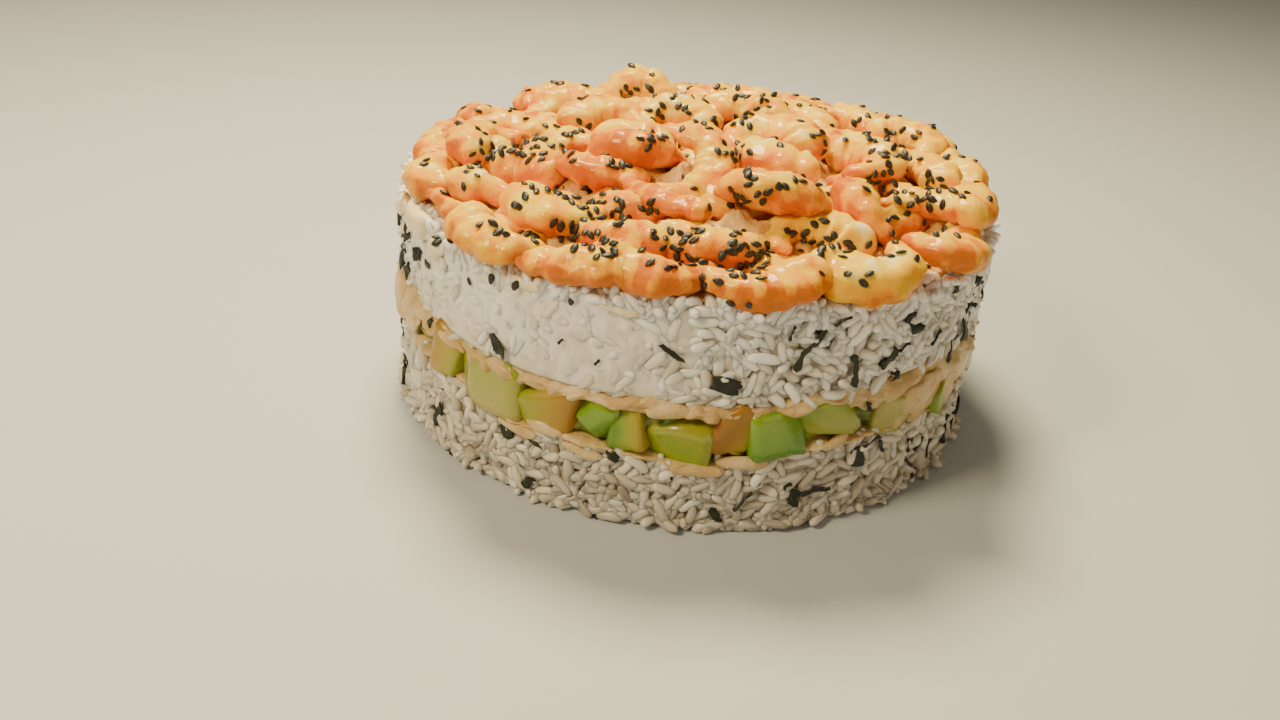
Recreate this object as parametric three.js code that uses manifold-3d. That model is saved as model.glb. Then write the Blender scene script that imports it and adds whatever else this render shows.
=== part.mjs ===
// A round layered sushi cake, standing on its flat underside. From the bottom up it has
// seasoned rice, a thin layer of cream cheese, a filling of avocado and cucumber chunks,
// a thicker layer of cream cheese, more rice and a last thin layer of cream cheese.
// Cooked, peeled and curled shrimps lie heaped on top, strewn with black sesame.
//
// Millimetres, +Z up. The origin is in the middle of the underside, and -Y is the front.
// Angles round the cake are in degrees from the front, growing towards +X.

import * as THREE from 'three';
import Module from 'manifold-3d';

const wasm = await Module();
wasm.setup();

// ---------------------------------------------------------------- driving dimensions

const CAKE_RADIUS = 90;
const GAP = 0.3; // between pieces that touch
const SMOOTH_SIDES = 48;
const RICE_SIDES = 2 * SMOOTH_SIDES; // one side is a little less than a grain's length

const LOWER_CREAM = 2;
const RICE_TOP = 65.2;
const SHOULDER_WIDTH = 4; // the rice's rounded top edge
const SHOULDER_DROP = 1.4;
const TOP_CREAM_RADIUS = 86;
const TOP_CREAM_RIM = 65.9;
// The top cream's low mound inside its rim, as [radius, height].
const TOP_CREAM_MOUND = [[70, 67], [57, 68.5], [32, 74], [0, 74.5]];

const RICE_BUMP = 1.6; // how far the hollows between the grains go in
const BASE_INSET = 1.2; // the underside's edge is a little smaller than the cake
const GRAIN_LENGTH = 7.5;
const GRAIN_WIDTH = 2.7;
const LOOSE_GRAINS = 8; // stand out of each layer of rice

const SHRIMP_LENGTH = 38; // along the curled body, for a shrimp of size 1
const SHRIMP_FLATNESS = 0.78; // thickness from side to side over depth from back to belly
const SEED_LENGTH = 3.1;
const SEED_WIDTH = 2;
const SHRIMPS_PER_SEED = 2; // every second shrimp carries one seed

// Where the layers meet, as [angle, height] round the rim.
const LOWER_RICE_HEIGHTS = [
  [-180, 23], [-120, 24], [-70, 25], [-50, 26], [-25, 22], [5, 19.5], [27, 24], [47, 25], [70, 24], [120, 23],
];
const FILLING_HEIGHTS = [
  [-180, 35], [-120, 35], [-70, 31], [-50, 34], [-25, 33.5], [5, 34], [27, 35], [47, 31], [70, 33], [120, 36],
];
const MIDDLE_CREAM_HEIGHTS = [
  [-180, 39], [-120, 40], [-70, 42], [-50, 39], [-25, 38], [5, 38.5], [27, 40], [47, 42], [70, 39], [120, 40],
];

// The chunks that show in the filling, as [angle, width, tilt].
const CHUNKS = [
  [-73, 17, 5], [-46, 11, 12], [-33, 18, -6], [-21, 14, -18], [-13, 7, 10], [-7, 9, -8],
  [2, 13, 4], [10, 11, 32], [18, 14, -5], [26, 13, -14], [42, 14, 6], [55, 13, -10],
];
const BACK_CHUNKS = 10; // round the back, from 70 to 270 degrees

// Seaweed flakes set in the rice, as [angle, height, width, length, tilt].
const FLAKES = [
  [7, 47, 4, 5, 10], [20, 55, 2, 11, 15], [56, 51, 7, 9, 35], [-59, 57, 6, 8, 40], [54, 11, 2, 14, -35],
  [-46, 12, 2, 11, 10], [24, 11, 3, 4, 70], [110, 53, 4, 9, 25], [-140, 54, 5, 7, 30], [150, 10, 3, 9, 30],
];

// The shrimps: x, y, the way the back faces, how much the back is lifted, the roll about
// the way it faces, size, girth, curl, and 1 or -1 for the side it lies on. Angles in
// degrees, with 0 towards +X here. The first ones lie on the cream: round the rim from the
// front, then in rows from front to back.
const LAID_SHRIMPS = [
  [-48, -70, 236, -10, -4, 0.95, 0.95, 110, 1],
  [-29, -81, 252, -8, 3, 0.95, 0.85, 60, -1],
  [-9, -81, 266, -8, 0, 0.94, 0.95, 130, 1],
  [18, -81, 281, -8, 4, 0.94, 0.98, 110, -1],
  [44, -70, 298, -8, 0, 1.04, 1, 200, 1],
  [66, -51, 322, -8, -5, 0.98, 1, 205, -1],
  [72, -20, 350, 3, 0, 1.22, 0.9, 185, 1],
  [77, 9, 8, 3, 6, 0.98, 1, 220, -1],
  [71, 35, 28, 4, 0, 1, 1, 205, 1],
  [55, 57, 46, 0, -6, 1, 1, 215, -1],
  [31, 72, 67, 3, 0, 1.04, 1, 195, 1],
  [2, 75, 90, -3, 5, 1.04, 1, 205, -1],
  [-26, 66, 112, -10, -5, 1.02, 1, 205, 1],
  [-52, 50, 137, -12, 0, 1, 1, 205, 1],
  [-68, 26, 160, -8, 5, 0.92, 1, 200, -1],
  [-75, -6, 184, -4, 0, 0.92, 1, 190, 1],
  [-70, -33, 206, 0, 6, 1, 0.95, 190, 1],
  [-55, -58, 236, 0, 0, 1.2, 0.6, 45, -1],
  [-17, -66, 262, 2, 0, 0.95, 1, 180, -1],
  [6, -66, 276, 2, 0, 0.95, 1, 170, 1],
  [32, -60, 108, 0, 5, 1, 1, 205, 1],
  [-14, -46, 255, 0, 5, 1, 1, 220, -1],
  [11, -40, 280, 0, 0, 1, 1, 215, 1],
  [55, -28, 330, 3, 0, 1, 1, 215, 1],
  [-54, -16, 195, 0, 0, 1, 1, 220, -1],
  [24, -16, 200, 3, 6, 1.08, 1, 220, -1],
  [47, -5, 10, 0, -6, 1.08, 1, 220, -1],
  [-18, -5, 205, 3, 5, 1.08, 1, 215, -1],
  [7, 44, 75, 3, 0, 1.05, 1, 215, 1],
  [49, 22, 35, 0, 0, 1, 1, 220, 1],
  [30, 38, 50, 3, 0, 1.05, 1, 215, 1],
];
const HEAPED_SHRIMPS = [
  [-22, 44, 96, 44, 5, 0.95, 1, 235, 1],
  [5, 63, 88, 0, 0, 0.92, 1, 200, -1],
  [-43, 30, 112, 22, 0, 0.98, 1, 160, 1],
  [33, 60, 60, 10, 8, 0.95, 1, 190, -1],
  [49, 49, 45, 8, 0, 0.9, 1, 190, 1],
  [65, 24, 35, 10, 8, 0.98, 1, 205, -1],
  [-60, 2, 106, 4, -3, 1.12, 0.85, 70, 1],
  [-56, -45, 238, 8, 6, 0.88, 1, 200, 1],
  [-62, -18, 160, 6, -5, 0.88, 1, 200, -1],
  [-36, -59, 245, 4, 5, 0.98, 1, 200, 1],
  [-40, -22, 165, 8, -10, 0.95, 1, 200, -1],
  [-27, -33, 250, 25, 0, 0.9, 1, 190, -1],
  [-30, 10, 105, 8, 5, 1.03, 1, 205, -1],
  [-9, 16, 100, 12, 0, 0.95, 1, 200, 1],
  [12, 28, 85, 14, 0, 1.08, 1, 225, 1],
  [21, 1, 95, 10, 0, 1.1, 1.03, 220, 1],
  [-9, -53, 225, 10, 0, 0.98, 0.66, 60, -1],
  [-17, -25, 250, 40, 5, 0.98, 1, 225, 1],
  [0, -38, 15, 0, 32, 0.82, 1.12, 190, 1],
  [19, -50, 262, 30, 0, 1, 1, 200, -1],
  [46, -43, 200, 50, 0, 0.95, 1, 205, 1],
  [64, -41, 60, 0, 0, 0.86, 0.85, 130, 1],
  [64, -6, 60, 10, 5, 0.9, 1, 215, 1],
];
// Shrimps in the gaps between those, half sunk in the top cream and one piece with it.
const SUNKEN_SHRIMPS = [
  [-52, 19, 150, 0, 0, 1, 1, 200, 1],
  [-20, 32, 95, 0, 0, 1.05, 1, 200, -1],
  [-5, 4, 20, 0, 5, 1, 1, 210, 1],
  [-3, -15, 250, 0, 0, 1.02, 1, 200, -1],
  [-44, -4, 85, 0, 5, 0.95, 1, 190, 1],
  [34, 16, 60, 0, 0, 1, 1, 200, -1],
  [38, -23, 330, 0, 0, 1.05, 1, 190, 1],
  [-12, 58, 110, 0, -5, 0.95, 1, 200, -1],
  [-41, 47, 130, 0, 0, 1, 1, 190, 1],
  [-40, -43, 225, 0, 0, 1, 1, 180, -1],
  [28, -66, 285, 0, 0, 0.95, 1, 150, 1],
  [25, -36, 290, 0, 0, 1, 1, 200, -1],
  [20, 60, 80, 0, 0, 0.95, 1, 190, 1],
  [55, 40, 40, 0, 0, 1, 1, 200, 1],
];
const SUNKEN_DEPTH = 3.5;

// ---------------------------------------------------------------- materials

const look = (color, roughness) => new THREE.MeshStandardMaterial({ color, roughness, metalness: 0 });
const RICE_LOOK = look(0xe9e4d8, 0.45);
const CREAM_LOOK = look(0xf0d3b4, 0.5);
const TOP_CREAM_LOOK = look(0xf4ead6, 0.5);
const FILLING_LOOK = look(0xa9b552, 0.45);
const SHRIMP_LOOK = look(0xf4a560, 0.3);

// ---------------------------------------------------------------- helpers

const radians = THREE.MathUtils.degToRad;
const mix = THREE.MathUtils.lerp;

// Repeatable random numbers from 0 to 1.
function randomFrom(seed) {
  let state = seed;
  return () => {
    state = (state + 0x6d2b79f5) | 0;
    let bits = Math.imul(state ^ (state >>> 15), 1 | state);
    bits = (bits + Math.imul(bits ^ (bits >>> 7), 61 | bits)) ^ bits;
    return ((bits ^ (bits >>> 14)) >>> 0) / 4294967296;
  };
}

// A point at an angle in degrees from the front.
const polar = (angle, radius, z) =>
  new THREE.Vector3(radius * Math.sin(radians(angle)), -radius * Math.cos(radians(angle)), z);

// A smooth closed curve through [angle, height] stops.
function heightRound(stops, angle) {
  const first = stops[0][0];
  const turned = first + THREE.MathUtils.euclideanModulo(angle - first, 360);
  const closed = [...stops, [first + 360, stops[0][1]]];
  const k = closed.findIndex(([stop]) => stop > turned);
  const [a0, h0] = closed[k - 1];
  const [a1, h1] = closed[k];
  return mix(h0, h1, THREE.MathUtils.smoothstep(turned, a0, a1));
}

const averageHeight = (stops) => stops.reduce((sum, stop) => sum + stop[1], 0) / stops.length;

// A value between stops of [position, value].
function between(stops, t) {
  const k = Math.max(1, stops.findIndex(([stop]) => stop >= t));
  const [t0, v0] = stops[k - 1];
  const [t1, v1] = stops[k];
  return mix(v0, v1, (t - t0) / (t1 - t0));
}

// A closed skin over rings of points, from a start tip to an end tip.
function skin(startTip, rings, endTip) {
  const points = [startTip, ...rings.flat(), endTip];
  const sides = rings[0].length;
  const last = points.length - 1;
  const corner = (ring, side) => 1 + ring * sides + (side % sides);
  const faces = [];
  for (let i = 0; i < sides; i++) {
    faces.push([0, corner(0, i + 1), corner(0, i)]);
    faces.push([last, corner(rings.length - 1, i), corner(rings.length - 1, i + 1)]);
    for (let k = 0; k < rings.length - 1; k++) {
      faces.push([corner(k, i), corner(k, i + 1), corner(k + 1, i + 1)]);
      faces.push([corner(k, i), corner(k + 1, i + 1), corner(k + 1, i)]);
    }
  }
  return solidOf(points, faces);
}

// A closed solid, turned so that its faces point outwards.
function solidOf(points, faces) {
  const cross = new THREE.Vector3();
  const volume = faces.reduce((sum, [a, b, c]) => sum + points[a].dot(cross.crossVectors(points[b], points[c])), 0);
  const outward = volume > 0 ? faces : faces.map(([a, b, c]) => [a, c, b]);
  const mesh = new wasm.Mesh({
    numProp: 3,
    vertProperties: new Float32Array(points.flatMap((point) => point.toArray())),
    triVerts: new Uint32Array(outward.flat()),
  });
  return new wasm.Manifold(mesh);
}

// A box of a size, placed by a matrix.
function boxSolid(width, depth, height, matrix) {
  const points = [];
  for (const x of [-1, 1]) {
    for (const y of [-1, 1]) {
      for (const z of [-1, 1]) {
        points.push(new THREE.Vector3((x * width) / 2, (y * depth) / 2, (z * height) / 2).applyMatrix4(matrix));
      }
    }
  }
  const quads = [[0, 1, 3, 2], [4, 6, 7, 5], [0, 4, 5, 1], [2, 3, 7, 6], [0, 2, 6, 4], [1, 5, 7, 3]];
  return solidOf(points, quads.flatMap(([a, b, c, d]) => [[a, b, c], [a, c, d]]));
}

const bodiesBySize = (solid) => solid.decompose().sort((a, b) => b.volume() - a.volume());
const joined = (solids) => solids.reduce((whole, solid) => whole.add(solid));

// The largest body alone, without slivers.
const SLIVER = 0.1;
const tidied = (solid) => bodiesBySize(solid.simplify(SLIVER))[0];

const group = new THREE.Group();

// Adds a named piece, with its geometry about its own place.
function addPiece(name, solid, material, place = new THREE.Vector3()) {
  const { vertProperties, triVerts } = solid.getMesh();
  const geometry = new THREE.BufferGeometry();
  geometry.setAttribute('position', new THREE.BufferAttribute(new Float32Array(vertProperties), 3));
  geometry.setIndex(new THREE.BufferAttribute(new Uint32Array(triVerts), 1));
  geometry.translate(-place.x, -place.y, -place.z);
  geometry.computeVertexNormals();
  const mesh = new THREE.Mesh(geometry, material);
  mesh.name = name;
  mesh.position.copy(place);
  group.add(mesh);
}

// ---------------------------------------------------------------- layers

// The height where two layers meet, straight between the corners of the smoother one.
function meeting(stops) {
  const side = 360 / SMOOTH_SIDES;
  return (angle) => {
    const corner = Math.floor(angle / side) * side;
    return mix(heightRound(stops, corner), heightRound(stops, corner + side), (angle - corner) / side);
  };
}

const lowerRiceHeight = meeting(LOWER_RICE_HEIGHTS);
const fillingHeight = meeting(FILLING_HEIGHTS);
const middleCreamHeight = meeting(MIDDLE_CREAM_HEIGHTS);
const lowerRiceMiddle = averageHeight(LOWER_RICE_HEIGHTS);
const fillingMiddle = averageHeight(FILLING_HEIGHTS);
const middleCreamMiddle = averageHeight(MIDDLE_CREAM_HEIGHTS);

// Points round the rim: at(angle, step) gives the radius and height.
function ringOf(sides, at) {
  return Array.from({ length: sides }, (_, step) => {
    const angle = (step * 360) / sides;
    const { radius, z, turn = 0 } = at(angle);
    return polar(angle + turn, radius, z);
  });
}

// A smooth layer between two heights round the rim.
function smoothLayer(low, lowMiddle, high, highMiddle, radius) {
  const rings = [low, high].map((edge) => ringOf(SMOOTH_SIDES, (angle) => ({ radius, z: edge(angle) })));
  return skin(polar(0, 0, lowMiddle), rings, polar(0, 0, highMiddle));
}

// The side of a layer of rice: rows of bumps as large as grains.
function riceRows(low, high, rows, random) {
  return Array.from({ length: rows }, (_, row) => {
    const level = (row + 1) / (rows + 1);
    const rowHeight = 1 / (rows + 1);
    return ringOf(RICE_SIDES, (angle) => ({
      radius: CAKE_RADIUS - RICE_BUMP * random(),
      z: mix(low(angle), high(angle), level + rowHeight * 0.5 * (random() - 0.5)),
      turn: (random() - 0.5) * 1.2,
    }));
  });
}

// One low-sided grain of rice at a place on the side, lying any way along the surface.
function grain(angle, radius, z, tilt) {
  const sides = 5;
  const ringAt = (along, girth) =>
    Array.from({ length: sides }, (_, side) => {
      const turn = (side * 2 * Math.PI) / sides;
      const half = (GRAIN_WIDTH / 2) * girth;
      return new THREE.Vector3((along * GRAIN_LENGTH) / 2, half * Math.cos(turn), half * Math.sin(turn));
    });
  const place = new THREE.Matrix4().makeRotationZ(radians(angle));
  place.multiply(new THREE.Matrix4().makeRotationY(radians(tilt)));
  place.setPosition(polar(angle, radius, z));
  const rings = [ringAt(-0.6, 0.8), ringAt(0, 1), ringAt(0.6, 0.8)];
  rings.flat().forEach((point) => point.applyMatrix4(place));
  const tip = (end) => new THREE.Vector3((end * GRAIN_LENGTH) / 2, 0, 0).applyMatrix4(place);
  return skin(tip(-1), rings, tip(1));
}

// Grains spread evenly round the rim between two heights.
function looseGrains(lowest, highest, random) {
  return Array.from({ length: LOOSE_GRAINS }, (_, k) => {
    const angle = ((k + 0.7 * random()) * 360) / LOOSE_GRAINS;
    return grain(angle, CAKE_RADIUS - 0.5, mix(lowest, highest, random()), (random() - 0.5) * 90);
  });
}

// Seaweed flakes set in the side between two heights.
function flakes(lowest, highest) {
  const depth = 3;
  const proud = 0.1;
  return FLAKES.filter(([, z]) => z > lowest && z < highest).map(([angle, z, width, length, tilt]) => {
    const matrix = new THREE.Matrix4().makeRotationZ(radians(angle));
    matrix.multiply(new THREE.Matrix4().makeRotationY(radians(tilt)));
    matrix.setPosition(polar(angle, CAKE_RADIUS + proud - depth / 2, z));
    return boxSolid(width, depth, length, matrix);
  });
}

function lowerRice() {
  const random = randomFrom(11);
  const low = () => 0;
  const rings = [
    ringOf(RICE_SIDES, () => ({ radius: CAKE_RADIUS - BASE_INSET, z: 0 })),
    ...riceRows(low, lowerRiceHeight, 4, random),
    ringOf(RICE_SIDES, (angle) => ({ radius: CAKE_RADIUS - RICE_BUMP / 2, z: lowerRiceHeight(angle) })),
  ];
  const core = skin(polar(0, 0, 0), rings, polar(0, 0, lowerRiceMiddle));
  return joined([core, ...looseGrains(5, 15, random), ...flakes(0, 22)]);
}

function upperRice() {
  const random = randomFrom(29);
  const low = (angle) => middleCreamHeight(angle) + GAP;
  const high = () => RICE_TOP - SHOULDER_DROP;
  const rings = [
    ringOf(RICE_SIDES, (angle) => ({ radius: CAKE_RADIUS - RICE_BUMP / 2, z: low(angle) })),
    ...riceRows(low, high, 4, random),
    ringOf(RICE_SIDES, () => ({ radius: CAKE_RADIUS - RICE_BUMP * random(), z: RICE_TOP - SHOULDER_DROP })),
    ringOf(RICE_SIDES, () => ({ radius: CAKE_RADIUS - SHOULDER_WIDTH, z: RICE_TOP })),
  ];
  const core = skin(polar(0, 0, middleCreamMiddle + GAP), rings, polar(0, 0, RICE_TOP));
  return joined([core, ...looseGrains(47, 59, random), ...flakes(44, 62)]);
}

const lowerCream = () =>
  smoothLayer(
    (angle) => lowerRiceHeight(angle) + GAP,
    lowerRiceMiddle + GAP,
    (angle) => lowerRiceHeight(angle) + LOWER_CREAM,
    lowerRiceMiddle + LOWER_CREAM,
    CAKE_RADIUS - 0.8,
  );

const middleCream = () =>
  smoothLayer(
    (angle) => fillingHeight(angle) + GAP,
    fillingMiddle + GAP,
    middleCreamHeight,
    middleCreamMiddle,
    CAKE_RADIUS - 0.2,
  );

// A chunk of avocado or cucumber, its outer face near the rim.
function chunk(angle, width, tilt, reach) {
  const depth = 22;
  const height = 17;
  const matrix = new THREE.Matrix4().makeRotationZ(radians(angle));
  matrix.multiply(new THREE.Matrix4().makeRotationY(radians(tilt)));
  const middle = lowerRiceHeight(angle) + fillingHeight(angle);
  matrix.setPosition(polar(angle, reach - depth / 2, middle / 2));
  return boxSolid(width, depth, height, matrix);
}

function filling() {
  const random = randomFrom(47);
  const low = (angle) => lowerRiceHeight(angle) + LOWER_CREAM + GAP;
  const lowMiddle = lowerRiceMiddle + LOWER_CREAM + GAP;
  const slab = smoothLayer(low, lowMiddle, fillingHeight, fillingMiddle, CAKE_RADIUS + 1);
  const core = smoothLayer(low, lowMiddle, fillingHeight, fillingMiddle, CAKE_RADIUS - 5);
  const front = CHUNKS.map(([angle, width, tilt]) => chunk(angle, width, tilt, CAKE_RADIUS - 1.5 * random()));
  const back = Array.from({ length: BACK_CHUNKS }, (_, k) => {
    const angle = 70 + ((k + 0.4 * random()) * 205) / BACK_CHUNKS;
    return chunk(angle, 9 + 10 * random(), 40 * (random() - 0.5), CAKE_RADIUS - 1.5 * random());
  });
  return joined([core, ...front, ...back]).intersect(slab);
}

function topCream() {
  const slope = TOP_CREAM_MOUND.slice(0, -1);
  const crest = TOP_CREAM_MOUND.at(-1);
  const rings = [
    ringOf(SMOOTH_SIDES, () => ({ radius: TOP_CREAM_RADIUS - 1, z: RICE_TOP + GAP })),
    ringOf(SMOOTH_SIDES, () => ({ radius: TOP_CREAM_RADIUS, z: TOP_CREAM_RIM })),
    ...slope.map(([radius, z]) => ringOf(SMOOTH_SIDES, () => ({ radius, z }))),
  ];
  return skin(polar(0, 0, RICE_TOP + GAP), rings, polar(0, 0, crest[1]));
}

// ---------------------------------------------------------------- shrimps

// Half the depth from back to belly, from the head end to the tail.
const BODY_DEPTH = [[0, 5.2], [0.1, 6.4], [0.25, 7], [0.5, 6.5], [0.75, 5.3], [0.92, 3.5], [1, 2.2]];
const HEAD_ROUNDING = 0.1;
const TAIL_ROUNDING = 0.07;
const SEGMENTS = 6.5;
const SEGMENT_RELIEF = 0.05;
const CURL_STEPS = 400;

function halfDepth(t, size) {
  const head = Math.sqrt(1 - Math.max(0, (HEAD_ROUNDING - t) / HEAD_ROUNDING) ** 2);
  const tail = Math.sqrt(1 - Math.max(0, (t - 1 + TAIL_ROUNDING) / TAIL_ROUNDING) ** 2);
  const relief = 1 + SEGMENT_RELIEF * (Math.sqrt(Math.abs(Math.sin(Math.PI * SEGMENTS * t))) - 0.6);
  return between(BODY_DEPTH, t) * size * head * tail * relief;
}

// The curled centre line, lying flat with the back towards +X and its box about the
// origin. It bends more tightly towards the tail.
function centreLine(size, curl) {
  const turned = (t) => radians(curl) * (0.62 * t + 0.38 * t * t);
  const heading = (t) => turned(t) - turned(0.5) + Math.PI / 2;
  const step = (SHRIMP_LENGTH * size) / CURL_STEPS;
  const points = [new THREE.Vector2(0, 0)];
  for (let k = 0; k < CURL_STEPS; k++) {
    const way = heading((k + 0.5) / CURL_STEPS);
    points.push(new THREE.Vector2(Math.cos(way) * step, Math.sin(way) * step).add(points[k]));
  }
  const middle = new THREE.Box2().setFromPoints(points).getCenter(new THREE.Vector2());
  const at = (t) => {
    const k = Math.min(CURL_STEPS - 1, Math.floor(t * CURL_STEPS));
    return points[k].clone().lerp(points[k + 1], t * CURL_STEPS - k).sub(middle);
  };
  return { heading, at };
}

// Rings of points along a posed shrimp, lying at height 0, and its two tips.
function shrimpRings([x, y, back, rise, roll, size, girth, curl, side], stations, sides, grow = 0) {
  const { heading, at } = centreLine(size, curl);
  const pose = new THREE.Matrix4().makeRotationZ(radians(back));
  pose.multiply(new THREE.Matrix4().makeRotationX(radians(roll)));
  pose.multiply(new THREE.Matrix4().makeRotationY(radians(-rise)));
  pose.setPosition(x, y, 0);
  const place = (point, across, up, way) =>
    new THREE.Vector3(point.x + across * Math.sin(way), side * (point.y - across * Math.cos(way)), up)
      .applyMatrix4(pose);
  const rings = stations.map((t) => {
    const half = halfDepth(t, size * girth) + grow;
    return Array.from({ length: sides }, (_, k) => {
      const turn = (k * 2 * Math.PI) / sides;
      return place(at(t), half * Math.cos(turn), half * SHRIMP_FLATNESS * Math.sin(turn), heading(t));
    });
  });
  const tip = (t, outward) => {
    const way = heading(t);
    const end = at(t).add(new THREE.Vector2(Math.cos(way), Math.sin(way)).multiplyScalar(outward * grow));
    return place(end, 0, 0, way);
  };
  return { rings, headTip: tip(0, -1), tailTip: tip(1, 1) };
}

const evenly = (count) => Array.from({ length: count }, (_, k) => k / (count - 1));
const FINE_STATIONS = evenly(25);
const FINE_SIDES = 20;
const SOLID_STATIONS = [0.03, 0.17, 0.34, 0.51, 0.68, 0.84, 0.97];
const SOLID_SIDES = 6;

// The cream and the rice's shoulder under the shrimps, as [radius, height].
const SEAT = [
  ...TOP_CREAM_MOUND.toReversed(),
  [TOP_CREAM_RADIUS, TOP_CREAM_RIM],
  [CAKE_RADIUS, RICE_TOP - SHOULDER_DROP],
];
const seatHeight = (x, y) => {
  const radius = Math.hypot(x, y);
  return radius < CAKE_RADIUS ? between(SEAT, radius) : -Infinity;
};

// A square map of the heap's height and of the shrimp that lies uppermost.
const CELL = 1.5;
const CELLS = 140;
const cellOf = (x, y) => {
  const column = Math.floor(x / CELL + CELLS / 2);
  const row = Math.floor(y / CELL + CELLS / 2);
  return column * CELLS + row;
};
const heapHeight = new Float64Array(CELLS * CELLS);
const heapOwner = new Int32Array(CELLS * CELLS).fill(-1);
for (let column = 0; column < CELLS; column++) {
  for (let row = 0; row < CELLS; row++) {
    const x = (column + 0.5 - CELLS / 2) * CELL;
    const y = (row + 0.5 - CELLS / 2) * CELL;
    heapHeight[column * CELLS + row] = Math.max(0, seatHeight(x, y));
  }
}

// How far a heaped shrimp goes up: until little more than a quarter of its underside
// would be below the heap, which then gives a little.
const PRESSED_SHARE = 0.28;
const SETTLING = 1;
function liftOntoHeap(low) {
  const needs = [...low].map(([cell, z]) => heapHeight[cell] - z).sort((a, b) => b - a);
  return needs[Math.floor(needs.length * PRESSED_SHARE)] - SETTLING;
}

function liftOntoCream(points) {
  return Math.max(...points.map(({ x, y, z }) => seatHeight(x, y) - z)) + GAP;
}

// Sets every shrimp down in turn and gives the heights of their middles.
function settle() {
  return [...LAID_SHRIMPS, ...HEAPED_SHRIMPS].map((shrimp, index) => {
    const points = shrimpRings(shrimp, FINE_STATIONS, FINE_SIDES).rings.flat();
    const low = new Map();
    const high = new Map();
    for (const { x, y, z } of points) {
      const cell = cellOf(x, y);
      low.set(cell, Math.min(low.get(cell) ?? Infinity, z));
      high.set(cell, Math.max(high.get(cell) ?? -Infinity, z));
    }
    const onCream = liftOntoCream(points);
    const lift = index < LAID_SHRIMPS.length ? onCream : Math.max(onCream, liftOntoHeap(low));
    for (const [cell, z] of high) {
      if (z + lift > heapHeight[cell]) {
        heapHeight[cell] = z + lift;
        heapOwner[cell] = index;
      }
    }
    return lift;
  });
}

function shrimpSolid(shrimp, lift, grow) {
  const { rings, headTip, tailTip } = shrimpRings(shrimp, SOLID_STATIONS, SOLID_SIDES, grow);
  return skin(headTip, rings, tailTip).translate([0, 0, lift]);
}

const apart = (a, b) =>
  [0, 1].some((axis) => a.max[axis] < b.min[axis] || b.max[axis] < a.min[axis]);

// A flat drop-shaped sesame seed at a place, turned about the vertical.
function seed(place, turn) {
  const outline = [[-0.5, 0], [-0.2, 0.42], [0.2, 0.5], [0.5, 0], [0.2, -0.5], [-0.2, -0.42]];
  const spin = new THREE.Matrix4().makeRotationZ(turn).setPosition(place);
  const ring = outline.map(([along, across]) =>
    new THREE.Vector3(along * SEED_LENGTH, across * SEED_WIDTH, 0).applyMatrix4(spin),
  );
  const tip = (height) => new THREE.Vector3(0, 0, height).add(place);
  return skin(tip(-0.9), [ring], tip(0.7));
}

// The highest point of a faceted solid at x, y.
function surfaceAt(solid, x, y) {
  const { vertProperties, triVerts } = solid.getMesh();
  const ray = new THREE.Ray(new THREE.Vector3(x, y, 200), new THREE.Vector3(0, 0, -1));
  const corner = (k) => new THREE.Vector3().fromArray(vertProperties, triVerts[k] * 3);
  let highest = -Infinity;
  for (let k = 0; k < triVerts.length; k += 3) {
    const hit = ray.intersectTriangle(corner(k), corner(k + 1), corner(k + 2), true, new THREE.Vector3());
    highest = Math.max(highest, hit?.z ?? -Infinity);
  }
  return highest;
}

// Adds a seed where the shrimp lies uppermost, with some of it all round.
function strewn(solid, index, random) {
  const clear = 3.4;
  const attempts = 200;
  const around = [[0, 0], [clear, 0], [-clear, 0], [0, clear], [0, -clear]];
  const { min, max } = solid.boundingBox();
  for (let attempt = 0; attempt < attempts; attempt++) {
    const x = mix(min[0], max[0], random());
    const y = mix(min[1], max[1], random());
    const z = surfaceAt(solid, x, y);
    if (Number.isFinite(z) && around.every(([dx, dy]) => heapOwner[cellOf(x + dx, y + dy)] === index)) {
      return solid.add(seed(new THREE.Vector3(x, y, z), random() * Math.PI));
    }
  }
  return solid;
}

// The top cream with the sunken shrimps, cut back where others lie on them.
function creamWithSunkenShrimps(others) {
  const sunken = SUNKEN_SHRIMPS.map((shrimp) => {
    const lift = liftOntoCream(shrimpRings(shrimp, FINE_STATIONS, FINE_SIDES).rings.flat()) - SUNKEN_DEPTH;
    const solid = shrimpSolid(shrimp, lift, 0).trimByPlane([0, 0, 1], RICE_TOP + GAP);
    const box = solid.boundingBox();
    return others
      .filter((other) => !apart(box, other.boundingBox()))
      .reduce((rest, other) => rest.subtract(other), solid);
  });
  return tidied(joined([topCream(), ...sunken]));
}

// Every shrimp, cut back where a later one lies on it or presses against it.
function addShrimps() {
  const shrimps = [...LAID_SHRIMPS, ...HEAPED_SHRIMPS];
  const lifts = settle();
  const random = randomFrom(83);
  const whole = shrimps.map((shrimp, index) => shrimpSolid(shrimp, lifts[index], 0));
  const grown = shrimps.map((shrimp, index) => shrimpSolid(shrimp, lifts[index], GAP));
  shrimps.forEach(([x, y], index) => {
    const box = whole[index].boundingBox();
    const above = grown.slice(index + 1).filter((other) => !apart(box, other.boundingBox()));
    const cut = tidied(above.reduce((solid, other) => solid.subtract(other), whole[index]));
    const dressed = index % SHRIMPS_PER_SEED === 0 ? strewn(cut, index, random) : cut;
    const name = `shrimp_${String(index + 1).padStart(2, '0')}`;
    addPiece(name, dressed, SHRIMP_LOOK, new THREE.Vector3(x, y, lifts[index]));
  });
  addPiece('cream_top', creamWithSunkenShrimps(grown), TOP_CREAM_LOOK);
}

// ---------------------------------------------------------------- the whole cake

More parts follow.
